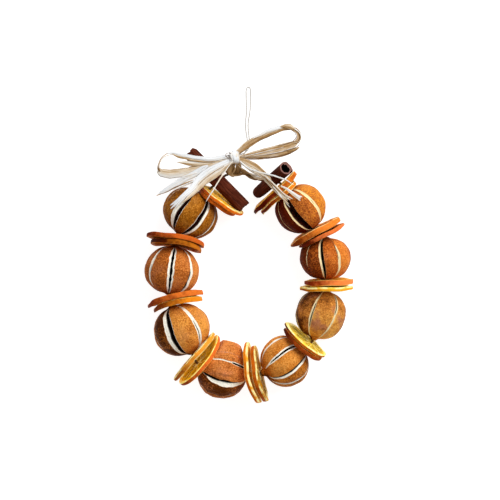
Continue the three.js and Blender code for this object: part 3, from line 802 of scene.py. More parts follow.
def heading(turn, rise):
    """The direction at an angle across the front, lifted out of it by the rise, in degrees."""
    turn, rise = math.radians(turn), math.radians(rise)
    level = math.cos(rise)
    return np.array([level * math.cos(turn), level * math.sin(turn), math.sin(rise)])


def add_orange(number, spec):
    """Turns the surface into its place and presses it flat against its neighbours and the
    table: what lies past a plane is moved back to it."""
    name = f"orange_{number}"
    points, values = with_core(*orange_surface(spec, number), spec)
    points = turned(points, ("Y", spec.lift), ("Z", spec.turn))
    top = top_of(name)
    points[..., 2] += top - points[..., 2].max()
    for turn, rise, distance in spec.pressed:
        direction = heading(turn, rise)
        middle = np.array([0, 0, top - spec.high / 2])
        past = np.maximum((points - middle) @ direction - distance, 0)
        points -= past[..., None] * direction
    points[..., 2] = np.maximum(points[..., 2], CLEARANCE)
    points[..., :2] += (spec.x, spec.y)
    bloom, cover = spec.bloom
    colours = (paint(*colour) for colour in (*spec.rind, bloom, spec.pith, spec.lining))
    material = rind_material(f"rind_{number}", *colours, cover, spec.patchy, spec.grain)
    add_mesh(f"dried_orange_{number}", name, points, grid_faces(*points.shape[:2], True),
             material, values)


# %% Make the oranges
for number, spec in enumerate(ORANGES, 1):
    add_orange(number, spec)

# %% [markdown]
# ## The string
#
# Three plies of natural fibre, twisted, go up from under the knot, through every core and back.
# A single tube with a twisted pattern would look flat beside the raffia, so each ply is a tube of
# its own, whose middle winds round the string's route like a screw.

# %% The string's route
STRING_START = [[-15.8, 118, 19.8], [-25.2, 115, 19.2], [-33.5, 108.7, 20.5], [-39.5, 102.4, 25]]
STRING_END = [[35.2, 105, 25], [29, 108.8, 22], [17.8, 109.3, 14.2], [6.3, 112.4, 17.5],
              [-4.2, 116.6, 19.5], [-14.6, 118.1, 19.8]]
STRING_STEPS = 900


def string_points():
    """The string's route, with five points on the core of every orange."""
    points = list(STRING_START)
    for number, spec in enumerate(ORANGES, 1):
        middle = np.array([spec.x, spec.y, top_of(f"orange_{number}") - spec.high / 2])
        for along in (-spec.head, -spec.head / 2, 0, spec.tail / 2, spec.tail):
            core = turned(np.array([along, 0.0, 0.0]), ("Y", spec.lift), ("Z", spec.turn))
            points.append(middle + core)
    return points + STRING_END


string_route = smooth_route(string_points(), STRING_STEPS)
print("string", round(lengths_along(string_route)[-1]), "mm")

# %% [markdown]
# ## Tubes in bundles
#
# The string's plies and the strips of raffia are all tubes: a grid whose rows go along a route
# and whose columns go round it. Each could be an object, but a bundle of them is one piece on
# the real wreath, so a bundle collects their points and faces and makes one mesh of them.

# %% Tubes and bundles of tubes


def with_ends(grid):
    """A grid with its first and its last row doubled."""
    return np.concatenate([grid[:1], grid, grid[-1:]])


def closed_tube(points):
    """A tube's grid with both ends drawn together into a point."""
    closed = with_ends(points)
    for end in (0, -1):
        closed[end] = closed[end].mean(axis=0)
    return closed


class Bundle:
    """Collects tubes and makes them one piece."""

    def __init__(self):
        self.points, self.faces, self.maps, self.values, self.count = [], [], [], {}, 0

    def tube(self, points, across, along, **values):
        """Adds a tube, with its texture places and the values that each of its points carries."""
        points = closed_tube(points)
        rows, columns = points.shape[:2]
        self.points.append(points.reshape(-1, 3))
        self.faces.append(grid_faces(rows, columns) + self.count)
        self.maps.append(grid_map(rows, columns, with_ends(across), with_ends(along)[:, None]))
        for key, value in values.items():
            self.values.setdefault(key, []).append(with_ends(value).ravel())
        self.count += rows * columns

    def finish(self, name, node, material, slot):
        """Makes the tubes collected so far one piece in place of a frame node."""
        values = {key: np.concatenate(value) for key, value in self.values.items()}
        add_mesh(name, node, np.concatenate(self.points), np.concatenate(self.faces), material,
                 values, np.concatenate(self.maps))


# %% The string's plies
PLIES = 3
PLY_RADIUS = 0.72
PLY_OFFSET = 0.66
PLY_PITCH = 9.0
PLY_SIDES = 8
ASIDE = FRONT + 0.13
STRING_SPOTS = 600


def string_material():
    """Twisted fibre: fine streaks along the ply, and darker spots."""
    recipe = Recipe("string_fibre", roughness=0.85, specular=0.2)
    pale, deep = paint(134, 100, 56), paint(70, 46, 22)
    streaks = recipe.noise(recipe.stretch(recipe.texture, (14, 1.2, 1)), 3.0)
    spots = recipe.noise(recipe.place, STRING_SPOTS, 2.0)
    colour = recipe.mix(recipe.fit(streaks, 0.3, 0.7), deep, pale)
    colour = recipe.mix(recipe.fit(spots, 0.55, 0.8, 0.0, 0.5), colour, deep)
    return recipe.finish(colour, recipe.bump(streaks, 0.12))


def ply_surface(route, phase):
    """A tube round a line that circles the route once in each pitch."""
    along = lengths_along(route)
    direction = directions(route)
    side = np.cross(direction, ASIDE)
    side /= np.linalg.norm(side, axis=1, keepdims=True)
    up = np.cross(side, direction)
    turn = 2 * math.pi * along / PLY_PITCH + phase
    centre = route + PLY_OFFSET * (side * np.cos(turn)[:, None] + up * np.sin(turn)[:, None])
    around = np.linspace(0, 2 * math.pi, PLY_SIDES, endpoint=False)[None, :, None]
    ring = side[:, None] * np.cos(around) + up[:, None] * np.sin(around)
    return centre[:, None] + PLY_RADIUS * ring, along


string = Bundle()
for ply in range(PLIES):
    points, along = ply_surface(string_route, 2 * math.pi * ply / PLIES)
    string.tube(points, np.tile(np.linspace(0, 1, PLY_SIDES + 1), (len(along), 1)), along)
string.finish("threading_string", "string", string_material(), "string")
hanging_cord.data.materials.append(Recipe("cord_fibre", 0.8, 0.2).finish(paint(186, 182, 177)))

# %% [markdown]
# ## Orange slices
#
# A dried slice is a disc with a raised rim. From the outside in it has the rind, a ring of pith,
# and the flesh, which has sunk between thin pale walls that run in to the middle. Seen on edge,
# as here, it is the rind's edge and a thin line of pith that show.
#
# A flattened cylinder would have no room for the sunken flesh. So the section of the disc goes
# from the hole out over the upper face, round the edge, and back under, and is carried round the
# hole. The texture place counts the segments one way and goes from the hole to the edge the
# other way, so the colours follow the walls.

# %% The slices' sizes
# Each pair lies before the orange of its number, and the ninth after the last. x, y: middle.
# turn: direction of the edge that shows. wide, deep: size along that edge and through the ring.
# tip: degrees that the upper face is turned to the front. bow, curl: how the disc is bent.
# rind: deep and light colour of its edge. flesh: deep and light colour of its face, and that of
# its walls and ring of pith. line: how wide the pith shows at the upper and the lower edge.
# sun: added to the lightness of its edge, which is painted lighter on the side towards
# the lamp. ends: thickness at the two ends of the edge that shows, beside the middle. glow:
# how strongly the slice glows, painted light that stands for the light that comes through it.
Disc = namedtuple("Disc", "x y turn wide deep thick tip bow curl rind flesh line sun ends glow",
                  defaults=[0, (0.75, 0.8), 0])
RUSSET = [(104, 40, 6), (190, 92, 16), (204, 122, 44)]
AMBER = [(168, 88, 8), (232, 152, 24), (246, 206, 116)]
GOLD = [(196, 128, 14), (246, 196, 56), (255, 238, 160)]
OLIVE = [(120, 70, 4), (204, 138, 18), (255, 238, 160)]
HONEY = [(120, 74, 4), (248, 186, 22), (255, 234, 140)]
YELLOW = [(206, 132, 12), (250, 188, 44), (255, 236, 164)]
SUNLIT = [(120, 88, 10), (250, 212, 70), (255, 244, 170)]
TAWNY = [(140, 66, 10), (214, 116, 30), (246, 190, 122)]
CREAMY = [(176, 92, 8), (238, 160, 26), (255, 236, 164)]
SLICE_PAIRS = [
    [Disc(-27.6, 88.4, -35, 51, 55, 4, 8, 0, 0, [(190, 78, 12), (246, 126, 30)], YELLOW,
          (0.8, 0.1)),
     Disc(-33.4, 87.1, -36, 45, 52, 3.8, 8, 0, 0, [(140, 56, 12), (220, 106, 26)], RUSSET,
          (0.1, 0.1))],
    [Disc(-77, 46.6, -8, 60.5, 57, 5.2, -4, 3.5, -1.3, [(124, 44, 10), (208, 98, 32)], RUSSET,
          (0.1, 0.1)),
     Disc(-76.5, 40.2, -8, 54, 55, 5.2, -5, 3.6, -0.9, [(86, 32, 6), (200, 114, 24)], RUSSET,
          (0.1, 0.5), sun=-0.16, ends=(0.8, 0.7))],
    [Disc(-77.6, -15.1, 14.5, 61, 56, 6.2, 0, 4, 0, [(140, 54, 16), (228, 118, 42)], RUSSET,
          (0.1, 0.1), ends=(0.35, 0.8)),
     Disc(-74.3, -20.6, 13.5, 53.5, 54, 6, 1, 4.2, 0, [(142, 64, 14), (238, 140, 28)], AMBER,
          (0.55, 0.1), ends=(0.5, 0.8))],
    [Disc(-57.2, -75, 49, 65, 60, 5.2, 0, 0, 0, [(176, 92, 20), (242, 160, 52)], CREAMY,
          (0.7, 0.5), ends=(0.6, 0.7)),
     Disc(-52.1, -79, 50.5, 63.5, 58, 5, 8.5, -3.2, 0, [(140, 58, 12), (216, 104, 38)], HONEY,
          (0.9, 0.1), glow=0.25)],
    [Disc(4.4, -91.7, -79, 64, 60, 5.2, 6, -3.5, 0, [(170, 76, 10), (230, 136, 26)], CREAMY,
          (1.5, 0.2), glow=0.2),
     Disc(11.4, -93.2, -77.5, 59.5, 58, 5.8, 5.2, -2.2, 0, [(150, 60, 10), (214, 110, 20)], OLIVE,
          (1.3, 0.1))],
    [Disc(58.6, -57, -39, 55, 55, 3.8, 9, -1, 0, [(104, 44, 8), (190, 98, 18)], SUNLIT,
          (1.0, 0.1), glow=0.25),
     Disc(56.4, -61.6, -39, 51.5, 54, 4, 7, -2, 0, [(90, 28, 8), (176, 78, 20)], RUSSET,
          (0.1, 0.1))],
    [Disc(84, 3.2, 1, 52, 54, 6.2, 2, 0, 0, [(150, 54, 12), (240, 132, 64)], AMBER, (0.1, 0.3),
          ends=(0.6, 0.8)),
     Disc(81, -3, 0, 55.5, 55, 4.6, 3, 0, 0, [(196, 112, 10), (238, 168, 40)], GOLD, (1.8, 0.1))],
    [Disc(69.6, 54.9, 29, 58, 57, 6.8, 3, 1.6, 0, [(140, 62, 14), (226, 126, 44)], TAWNY,
          (0.45, 0.1), ends=(0.3, 0.7)),
     Disc(76.8, 51.9, 27, 53, 54, 4.6, 4, 0.8, 0, [(112, 36, 10), (228, 118, 58)], RUSSET,
          (0.1, 0.1), ends=(0.35, 0.3))],
    [Disc(27.1, 96.9, 41, 61, 55, 5.6, 3, 0, 2, [(104, 30, 8), (218, 114, 30)], AMBER, (0.4, 0.1),
          sun=-0.2, ends=(0.6, 0.8)),
     Disc(30.8, 91.7, 40, 49, 52, 5, 3, 0.5, 1.5, [(124, 46, 10), (214, 124, 30)], CREAMY,
          (0.9, 0.4), sun=-0.15)],
]

# %% The slices' material
# scales of the patterns
WALL_WOBBLE, FLESH_CLOUDS, EDGE_SHADE, EDGE_MOTTLE, EDGE_PORES = 260, 130, 42, 220, 1000
SUBSURFACE = {"Subsurface Weight": 0.15, "Subsurface Radius": (0.002, 0.001, 0.0004),
              "Subsurface Scale": 1.0}


def slice_material(name, glow, rind_deep, rind_light, deep, light, ring):
    """The texture place runs 0 to 10 round the slice and 0 to 1 from the hole to the edge. The
    painted glow makes the slice give off its own colour as light: painted light that stands for
    the light that comes through a thin dry slice."""
    recipe = Recipe(name, roughness=0.42, specular=0.01)
    around, outward = recipe.part(recipe.texture)
    outward = recipe.vary(outward, recipe.noise(recipe.place, WALL_WOBBLE), 0.05)
    inside_cell = recipe.sum("FRACT", around)
    wall = recipe.sum("ABSOLUTE", recipe.sum("SUBTRACT", inside_cell, 0.5))
    narrow = recipe.sum("MULTIPLY", recipe.sum("SUBTRACT", 0.5, wall), outward)
    strands = recipe.noise(recipe.grain(around, outward, 9.0, 2.4), 2.2, 3.0, 0.8)
    clouds = recipe.noise(recipe.place, FLESH_CLOUDS)
    amount = recipe.blend(strands, 0.75, clouds, 0.35)
    flesh = recipe.mix(recipe.fit(amount, 0.38, 0.72), deep, light)
    pale = recipe.mix(recipe.fit(clouds, 0.4, 0.65), ring, light)
    flesh = recipe.mix(recipe.fit(narrow, 0.012, 0.045, 0.7, 0.0), flesh, pale)
    face = recipe.mix(recipe.fit(outward, 0.1, 0.15), pale, flesh)
    face = recipe.mix(recipe.fit(outward, 0.83, 0.87), face, pale)
    shade = recipe.noise(recipe.place, EDGE_SHADE, 2.0)
    mottle = recipe.noise(recipe.place, EDGE_MOTTLE, 4.0)
    # the edge's tone starts from the painted light, lighter towards the lamp
    tone = recipe.vary(recipe.value("sun"), shade, 0.8)
    tone = recipe.vary(tone, mottle, 0.7)
    red, green, blue = rind_deep[:3]
    dark = (0.6 * red, 0.4 * green, 0.2 * blue, 1.0)
    skin = recipe.ramp(tone, (0.0, dark), (0.35, rind_deep), (0.8, rind_light))
    colour = recipe.mix(recipe.fit(recipe.value("skin"), 0.35, 0.65), face, skin)
    relief = recipe.bump(recipe.fit(recipe.cells(EDGE_PORES), 0.1, 0.5), 0.12)
    relief = recipe.bump(mottle, 0.5, relief)
    relief = recipe.bump(strands, 0.35, relief)
    # painted glow: the slice's colour given off as light
    recipe.fill(recipe.shader, {**SUBSURFACE, "Emission Color": colour,
                                "Emission Strength": glow})
    return recipe.finish(colour, relief)


# %% The section of a slice
FACE_STEPS, RIM_STEPS, EDGE_STEPS = 22, 9, 11
FACE_END, RIM_START, EDGE_START = 0.8, 0.83, 0.985


def slice_section(line):
    """The section from the hole over the upper face, round the edge and back under: how far out
    each place is, which side it is on from 1 to -1, and whether it is rind."""
    face = np.r_[np.linspace(0, FACE_END, FACE_STEPS),
                 np.linspace(RIM_START, EDGE_START, RIM_STEPS)]
    edge = np.linspace(math.pi / 2, -math.pi / 2, EDGE_STEPS + 2)[1:-1]
    outward = np.r_[face, EDGE_START + (1 - EDGE_START) * np.cos(edge), face[::-1]]
    side = np.r_[np.ones(len(face)), np.sin(edge), -np.ones(len(face))]
    height = np.sin(edge)
    skin = (height < 1 - line[0] / 2) & (height > -1 + line[1] / 2)
    return outward, side, np.r_[np.zeros(len(face)), skin, np.zeros(len(face))]


# %% The slices' surface
SLICE_TURN_STEPS = 220
SLICE_HOLE = 1.9
SEGMENTS = 10
WALL_WIDTH = 1.1
SINK_DEPTH = 0.17
# how far out from the hole, and there how much the flesh has sunk, and half the thickness
HOLLOW = [0, 0.1, 0.2, 0.8, 0.88, 1], [0, 0, 1, 1, 0, 0]
HALF_THICKNESS = [0, 0.1, 0.3, 0.8, 0.9, 0.97, 1], [0.4, 0.4, 0.36, 0.36, 0.42, 0.47, 0.5]
PUCKER_SIZE, PUCKER_DEPTH = 3.2, 0.06
WARP_SIZE, WARP_DEPTH = 15.0, 0.9
THIN_FROM = 0.75


def slice_surface(spec, hole, seed):
    """Rows go round the hole, columns along the section. A place is between the hole and the rim
    in the disc's plane, and its height is the bend of the disc plus half the thickness there."""
    outward, side, skin = slice_section(spec.line)
    angle = np.linspace(0, 2 * math.pi, SLICE_TURN_STEPS + 1)[:-1]
    uneven = 1 + 0.02 * np.sin(2 * angle + seed) + 0.012 * np.sin(3 * angle + 2 * seed)
    rim = np.stack([np.cos(angle) * spec.wide, np.sin(angle) * spec.deep], -1)
    rim *= uneven[:, None] / 2
    inner = np.stack([np.cos(angle), np.sin(angle)], -1) * SLICE_HOLE + hole
    flat = inner[:, None] + (rim - inner)[:, None] * outward[None, :, None]
    turns = angle / (2 * math.pi)
    cell = SEGMENTS * turns + 0.16 * np.sin(angle * 3 + seed) + 0.1 * np.sin(angle * 5 + 2 * seed)
    in_cell = cell % 1.0
    wall = np.minimum(in_cell, 1 - in_cell)[:, None] * outward[None] * 2 * math.pi
    wall = wall * (spec.wide / 2) / SEGMENTS
    hollow = np.interp(outward, *HOLLOW)[None]
    sunk = hollow * (1 - np.exp(-(wall / WALL_WIDTH) ** 2))
    half = np.interp(outward, *HALF_THICKNESS)[None]
    puckers = np.dstack([flat / PUCKER_SIZE,
                         np.full(flat.shape[:2], seed * 9.0) + side[None] * 4])
    half = half - SINK_DEPTH * sunk + PUCKER_DEPTH * unevenness(puckers, 1.0, seed) * hollow
    part = flat[..., 0] / (spec.wide / 2)
    bend = spec.bow * (1 - part ** 2) + spec.curl * part ** 3
    warp = WARP_DEPTH * unevenness(flat, WARP_SIZE, seed // 2 + 40) * outward[None] ** 2
    thin = np.interp(part, [-1, -THIN_FROM, THIN_FROM, 1], [spec.ends[0], 1, 1, spec.ends[1]])
    height = bend + warp + side[None] * half * thin * spec.thick
    return np.dstack([flat, height]), cell, outward, np.tile(skin, (len(angle), 1))


# %% Put a slice in its place
SLICE_LIFT = 0.9
# direction towards the lamp, along which the slices' edges are painted lighter
PAINTED_LIGHT_DIRECTION = np.array([0.8, 0.35, 0.3])


def hole_place(spec):
    """Where the string goes through a slice: the point of its route nearest the disc's plane."""
    place = np.array([spec.x, spec.y, spec.deep / 2 + SLICE_LIFT])
    local = turned(string_route - place, ("Z", -spec.turn), ("X", 90 - spec.tip))
    near = local[np.hypot(local[:, 0], local[:, 1]) < spec.wide / 2]
    return near[np.argmin(np.abs(near[:, 2]))][:2], place


def add_slice(name, spec, seed):
    """Stands the disc on edge across the ring. The painted light is how far a place lies towards
    the lamp, so that side of the edge is painted lighter.
    """
    hole, place = hole_place(spec)
    points, cell, outward, skin = slice_surface(spec, hole, seed)
    points = turned(points, ("X", spec.tip - 90), ("Z", spec.turn)) + place
    rows, columns = points.shape[:2]
    around = np.r_[cell, cell[0] + SEGMENTS][:, None]
    texture = grid_map(rows, columns, around, np.r_[outward, outward[0]][None], True)
    material = slice_material(f"{name}_flesh", spec.glow,
                              *(paint(*colour) for colour in spec.rind + spec.flesh))
    # painted light: lighter towards the lamp, plus the slice's own offset
    sun = 0.5 + ((points - place) @ PAINTED_LIGHT_DIRECTION) / spec.wide + spec.sun
    add_mesh(f"dried_{name}", name, points, grid_faces(rows, columns, True), material,
             {"skin": skin, "sun": sun}, texture)


# %% Make the slices
for seed, (number, side) in enumerate(itertools.product(range(len(SLICE_PAIRS)), (0, 1))):
    add_slice(f"slice_{number + 1}{'ab'[side]}", SLICE_PAIRS[number][side], seed)

# %% [markdown]
# ## Cinnamon sticks
#
# A stick is a sheet of bark rolled up as it dried. A cylinder with a spiral painted on its end
# would not show the gap between the turns, so its section is a spiral with a wall of bark,
# carried along the stick. The bark is furrowed lengthwise, its ends are broken a little unevenly,
# and the cut edge is paler than the outside.

# %% The sticks' sizes
# x, y, z: middle. turn, rise: its direction, and how far it rises to the front. long, radius:
# size. roll: degrees round the stick where the sheet's outer edge lies. girth: how thick the
# stick's two ends are beside the radius. worn: how much they are rounded off.
Quill = namedtuple("Quill", "x y z turn rise long radius roll girth worn")
QUILLS = {
    "cinnamon_left": Quill(-33.6, 110.9, 29, -45.2, 0, 82, 8.5, 200, (1, 1), (0.3, 0.05)),
    "cinnamon_right": Quill(23.2, 108.6, 30.6, 40.5, 49, 61, 8, 300, (0.86, 1.03), (0.25, 0)),
}

# %% The bark's material
BARK_PATCHES = 90


def bark_material():
    """Streaked bark outside, painted nearly black inside as shadow in the roll, and pale where it
    is broken.
    """
    recipe = Recipe("cinnamon_bark", roughness=0.6, specular=0.015)
    around, along = recipe.part(recipe.texture)
    streaks = recipe.noise(recipe.grain(around, along, 1.6, 0.06), 1.0, 5.0, 0.6)
    patches = recipe.noise(recipe.place, BARK_PATCHES)
    amount = recipe.blend(streaks, 0.8, patches, 0.25)
    outside = recipe.ramp(amount, (0.3, paint(28, 9, 5)), (0.52, paint(76, 31, 19)),
                          (0.74, paint(122, 64, 43)))
    # inside the roll: painted shadow, nearly black
    inside = recipe.ramp(streaks, (0.3, paint(10, 5, 3)), (0.7, paint(30, 15, 10)))
    colour = recipe.mix(recipe.value("inner"), outside, inside)
    cut = recipe.mix(patches, paint(150, 112, 104), paint(96, 58, 48))
    colour = recipe.mix(recipe.fit(recipe.value("cut"), 0.3, 0.7), colour, cut)
    return recipe.finish(colour, recipe.bump(streaks, 0.5))


# %% The bark's surface
BARK_ROWS, BARK_STEPS, BARK_EDGE_STEPS = 150, 90, 4
BARK_WALL = 1.7
BARK_PITCH = 1.95
BARK_TURNS = 1.35
# how many turns in from the sheet's outer edge, and there how thick the wall is beside the usual
BARK_THINNING = [0, 0.06, 1.2, BARK_TURNS], [0.75, 1, 1, 0.7]
LIP_SWELL = 0.09
RAGGED_DEPTH, RAGGED_FROM = 0.9, 0.9
WORN_FROM, WORN_POWER = 0.86, 2.5
FURROW_STRETCH = 0.09
SMOOTH_INSIDE = 0.7


def bark_surface(spec, seed):
    """Rows go along the stick, columns round its section: out along the spiral's outside and
    back along its inside, where the radius shrinks by one pitch in each turn."""
    turn = np.linspace(0, BARK_TURNS, BARK_STEPS)
    thin = np.interp(turn, *BARK_THINNING)
    outer = spec.radius - BARK_PITCH * turn
    angle = math.radians(spec.roll) + 2 * math.pi * turn
    lip = np.linspace(0, 1, BARK_EDGE_STEPS + 2)[1:-1]
    inner = outer - BARK_WALL * thin
    radius = np.r_[outer, outer[-1] + (inner[-1] - outer[-1]) * lip, inner[::-1],
                   inner[0] + (outer[0] - inner[0]) * lip]
    swell = np.sin(math.pi * lip) * LIP_SWELL
    angles = np.r_[angle, angle[-1] + swell, angle[::-1], angle[0] - swell]
    inner_side = np.r_[np.zeros(BARK_STEPS), lip, np.ones(BARK_STEPS), 1 - lip]
    place = np.r_[turn, turn[-1] + 0 * lip, turn[::-1], turn[0] + 0 * lip]
    along = np.linspace(-0.5, 0.5, BARK_ROWS)[:, None] * spec.long
    place_along = along / spec.long * 2
    ends = np.clip((np.abs(place_along) - RAGGED_FROM) / (1 - RAGGED_FROM), 0, 1) ** 2
    round_place = np.stack([np.cos(angles) * 6, np.sin(angles) * 6], -1)
    ragged = RAGGED_DEPTH * unevenness(round_place, 3.0, seed)[None] * ends * np.sign(along)
    shape = np.dstack(np.broadcast_arrays(*round_place.T[:, None], along))
    furrows = shape * (1, 1, FURROW_STRETCH)
    lift = 0.22 * unevenness(furrows, 1.3, seed) + 0.1 * unevenness(furrows, 0.6, seed + 1)
    lift = lift + 0.3 * unevenness(shape, 14.0, seed + 2)
    lift = lift * (1 - SMOOTH_INSIDE * inner_side[None])
    near_end = np.clip((np.abs(place_along) - WORN_FROM) / (1 - WORN_FROM), 0, 1) ** WORN_POWER
    girth = np.interp(place_along, [-1, 1], spec.girth)
    girth = girth * (1 - near_end * np.where(along < 0, *spec.worn))
    radii = (radius[None] + lift) * girth
    points = np.dstack([radii * np.cos(angles)[None], radii * np.sin(angles)[None],
                        along + ragged])
    return points, inner_side, place


# %% Close the sticks' ends and make the sticks
BARK_MAP_WIDTH = 43


def cap_faces(start):
    """Faces that close one end of a stick, whose points are counted from the start: between the
    outside and the inside of the spiral, and across the lips at both edges of the sheet."""
    outer = np.arange(BARK_STEPS)
    inner = BARK_STEPS + BARK_EDGE_STEPS + outer[::-1]
    between = np.arange(BARK_STEPS, BARK_STEPS + BARK_EDGE_STEPS)
    far = np.r_[outer[-1], between, inner[-1]]
    near = np.r_[inner[0], between + BARK_STEPS + BARK_EDGE_STEPS, outer[0]]
    lips = [[lip[k], lip[k + 1], lip[-2 - k], lip[-1 - k]]
            for lip in (far, near) for k in range(len(lip) // 2 - 1)]
    return np.vstack([np.stack([outer[:-1], outer[1:], inner[1:], inner[:-1]], -1), lips]) + start


def add_quill(name, spec, seed, material):
    """The rolled sheet and a cap on each end, with points of its own so that its edge is sharp."""
    points, inner_side, place = bark_surface(spec, seed)
    rows, columns = points.shape[:2]
    sides = grid_faces(rows, columns)
    outward = 1 if volume_of(points.reshape(-1, 3), sides) > 0 else -1
    caps = [cap_faces(rows * columns)[:, ::-outward],
            cap_faces((rows + 1) * columns)[:, ::outward]]
    values = {"inner": np.r_[np.tile(inner_side, rows), np.zeros(2 * columns)],
              "cut": np.r_[np.zeros(rows * columns), np.ones(2 * columns)]}
    texture = grid_map(rows, columns, np.r_[place, place[0]][None] * BARK_MAP_WIDTH,
                       np.linspace(0, spec.long, rows)[:, None])
    texture = np.concatenate([texture, np.zeros((caps[0].size + caps[1].size, 2))])
    points = turned(np.concatenate([points, points[[0, -1]]]), ("Y", 90 - spec.rise),
                    ("Z", spec.turn)) + (spec.x, spec.y, spec.z)
    add_mesh(f"{name}_bark", name, points, np.concatenate([sides, *caps]), material,
             values, texture)


bark = bark_material()
for seed, (name, spec) in enumerate(QUILLS.items(), 60):
    add_quill(name, spec, seed, bark)

# %% [markdown]
# ## Raffia
#
# Raffia is thin strips split from a palm leaf: flat, creased lengthwise, white where they are new
# and tan or brown where they are old. The construction has each bundle of strips as one bar. A
# bar with streaks on it would have no loose edges, so here every strip is laid by itself along
# its own route, one over another. The section of a strip is a thin closed outline with a fold
# down its middle and a few creases. The torn end of a wide strip is made of several narrow ones
# that spread apart.

# %% The left loop's strips
# A strip has its places, each the x, y and z of its middle and its width there. tone: lightness
# to the left and to the right of its direction, from 0, brown, to 1, white. fold: how steeply its
# two halves slope. parts: the narrow strips that it is split into. spread: how much further apart
# they end than they begin. roll: degrees that it is turned about its route at start and end.
Strip = namedtuple("Strip", "places tone fold parts spread roll", defaults=[0.1, 1, 0, (0, 0)])
STRIPS = {}
STRIPS["bow_loop_left"] = [
    Strip([(-16, 134.8, 39.4, 3.5), (-27, 133.6, 40.4, 4.8), (-38.6, 131.6, 40.8, 4.4),
           (-51.5, 132.8, 40.6, 4), (-63, 134.8, 40.3, 3.8), (-73.6, 136.8, 40, 3.2),
           (-81, 138, 39.6, 2), (-85.5, 137.2, 39.3, 0.6)], (0.8, 0.97), fold=0.2),
    Strip([(-30, 129.6, 39.8, 1), (-40, 129, 40, 2), (-51.5, 130, 39.9, 2.9),
           (-63, 132.2, 39.9, 3), (-73.6, 134.4, 39.7, 3.6), (-80.5, 136.8, 39.5, 0.6)],
           (0.3, 0.55), fold=0.2),
    Strip([(-16, 132.2, 39, 3), (-27, 129.8, 39.4, 5), (-38.6, 127.8, 39.2, 5.6),
           (-51.5, 127, 39, 5.2), (-63, 127.8, 38.8, 5.4), (-76, 128.9, 38.7, 0.5)], (0.42, 0.72),
           fold=0.25),
    Strip([(-32, 126.4, 38.2, 2), (-46, 124.8, 38, 3.2), (-55, 123.8, 37.9, 2.8),
           (-63, 123.5, 37.8, 0.5)], (0.2, 0.32)),
    Strip([(-74, 137.6, 39.2, 0.7), (-80, 138.8, 39.2, 1), (-86.5, 137.2, 39.1, 0.9),
           (-91.8, 132.6, 39, 0.9), (-94.4, 127, 38.8, 1), (-95.2, 121.5, 38.7, 1.2),
           (-93.4, 117.5, 38.6, 1)], (0.3, 0.3)),
    Strip([(-80, 137, 39, 0.6), (-87.5, 134.6, 39, 0.7), (-92.4, 129.5, 39, 0.6),
           (-93.8, 124, 39, 0.7), (-92.6, 119, 38.9, 0.7)], (0.5, 0.5)),
    Strip([(-94.8, 125.5, 39.6, 0.4), (-94.6, 121.5, 39.8, 2), (-93, 118.6, 39.7, 0.6)],
           (0.05, 0.15)),
    Strip([(-95, 120.6, 38.6, 5), (-91.6, 117.6, 38.7, 8.4), (-84, 116.3, 38.8, 9.4),
           (-77.7, 116.8, 38.8, 9.4), (-70, 117.5, 38.8, 9), (-64, 118.7, 38.8, 8),
           (-54.6, 121.3, 38.9, 6), (-45, 124.4, 39, 4.6), (-34, 127.6, 39.4, 4),
           (-16, 130.4, 39, 3.5)], (0.5, 0.72), fold=0.2),
    Strip([(-92, 119.4, 37.6, 1.5), (-80, 118.8, 37.6, 3), (-66, 120.9, 37.7, 3.5),
           (-52, 124, 37.9, 3), (-36, 128.6, 38.4, 2.5), (-16, 131.8, 38.4, 2.5)], (0.4, 0.5)),
]

# %% The left tails' strips
STRIPS["tail_left_long"] = [
    Strip([(-17, 130.6, 43, 4), (-24, 127.6, 43.4, 6), (-31, 124.3, 43.8, 7),
           (-40, 119.4, 44.6, 7.6), (-47.5, 114.6, 45.6, 7.4), (-53.5, 109, 47, 6.4),
           (-59.4, 101.2, 49.8, 5.6), (-66, 94.8, 52.4, 5), (-71.6, 89.4, 53.6, 5),
           (-76.8, 84.2, 53, 5.4), (-82, 79.4, 51.6, 5.8)], (0.78, 0.97), fold=0.22, parts=3,
           spread=0.7),
    Strip([(-17, 129, 42.6, 3), (-24, 124.2, 43, 5.5), (-31, 119.2, 43.4, 7.6),
           (-38, 114, 44, 8.2), (-46.2, 108.2, 45.2, 7), (-52, 102.2, 47, 5.4),
           (-58, 96, 49.6, 4.2), (-64, 90.6, 52.2, 3), (-70, 85.6, 53, 0.8)], (0.5, 0.66),
           fold=0.3),
    Strip([(-26, 124.5, 44.8, 0.5), (-36, 118.6, 45.4, 0.9), (-46, 111.8, 46.6, 0.8),
           (-53, 104.6, 48.8, 0.4)], (0.3, 0.4)),
    Strip([(-18.9, 128.1, 44, 1.1), (-23.1, 121.8, 45.6, 1.4), (-30.5, 110.3, 49.5, 1.4),
           (-37.8, 98.6, 53, 1.3), (-44.6, 87.4, 53.4, 0.8)], (0.75, 0.6)),
]
STRIPS["tail_left_short"] = [
    Strip([(-43, 125.2, 41.4, 2), (-48, 122, 41, 5), (-54, 117.8, 40.4, 6.4),
           (-65.5, 112, 39.6, 5.6), (-78.3, 104.8, 38.6, 4.6), (-90, 98.2, 37.2, 3.2),
           (-97.2, 94.2, 36.2, 0.5)], (0.84, 0.98), fold=0.25, parts=2),
    Strip([(-58, 110.4, 39.4, 0.6), (-68, 106.4, 38.9, 2), (-80, 101.2, 38, 2.4),
           (-90, 96.8, 37, 2.1), (-97, 93.6, 36.2, 0.6)], (0.22, 0.45)),
    Strip([(-58, 115.8, 40, 2.6), (-69, 112.6, 39.6, 2.4), (-77.7, 109.4, 39.2, 0.4)],
           (0.85, 0.95)),
    Strip([(-55, 117.6, 40.6, 1.8), (-64, 115, 40.2, 1.6), (-71, 112.4, 39.8, 0.3)], (0.7, 0.85)),
    Strip([(-56, 109, 39, 1.6), (-68, 104, 38.4, 1.6), (-79.8, 100, 37.8, 0.4)], (0.6, 0.8)),
]

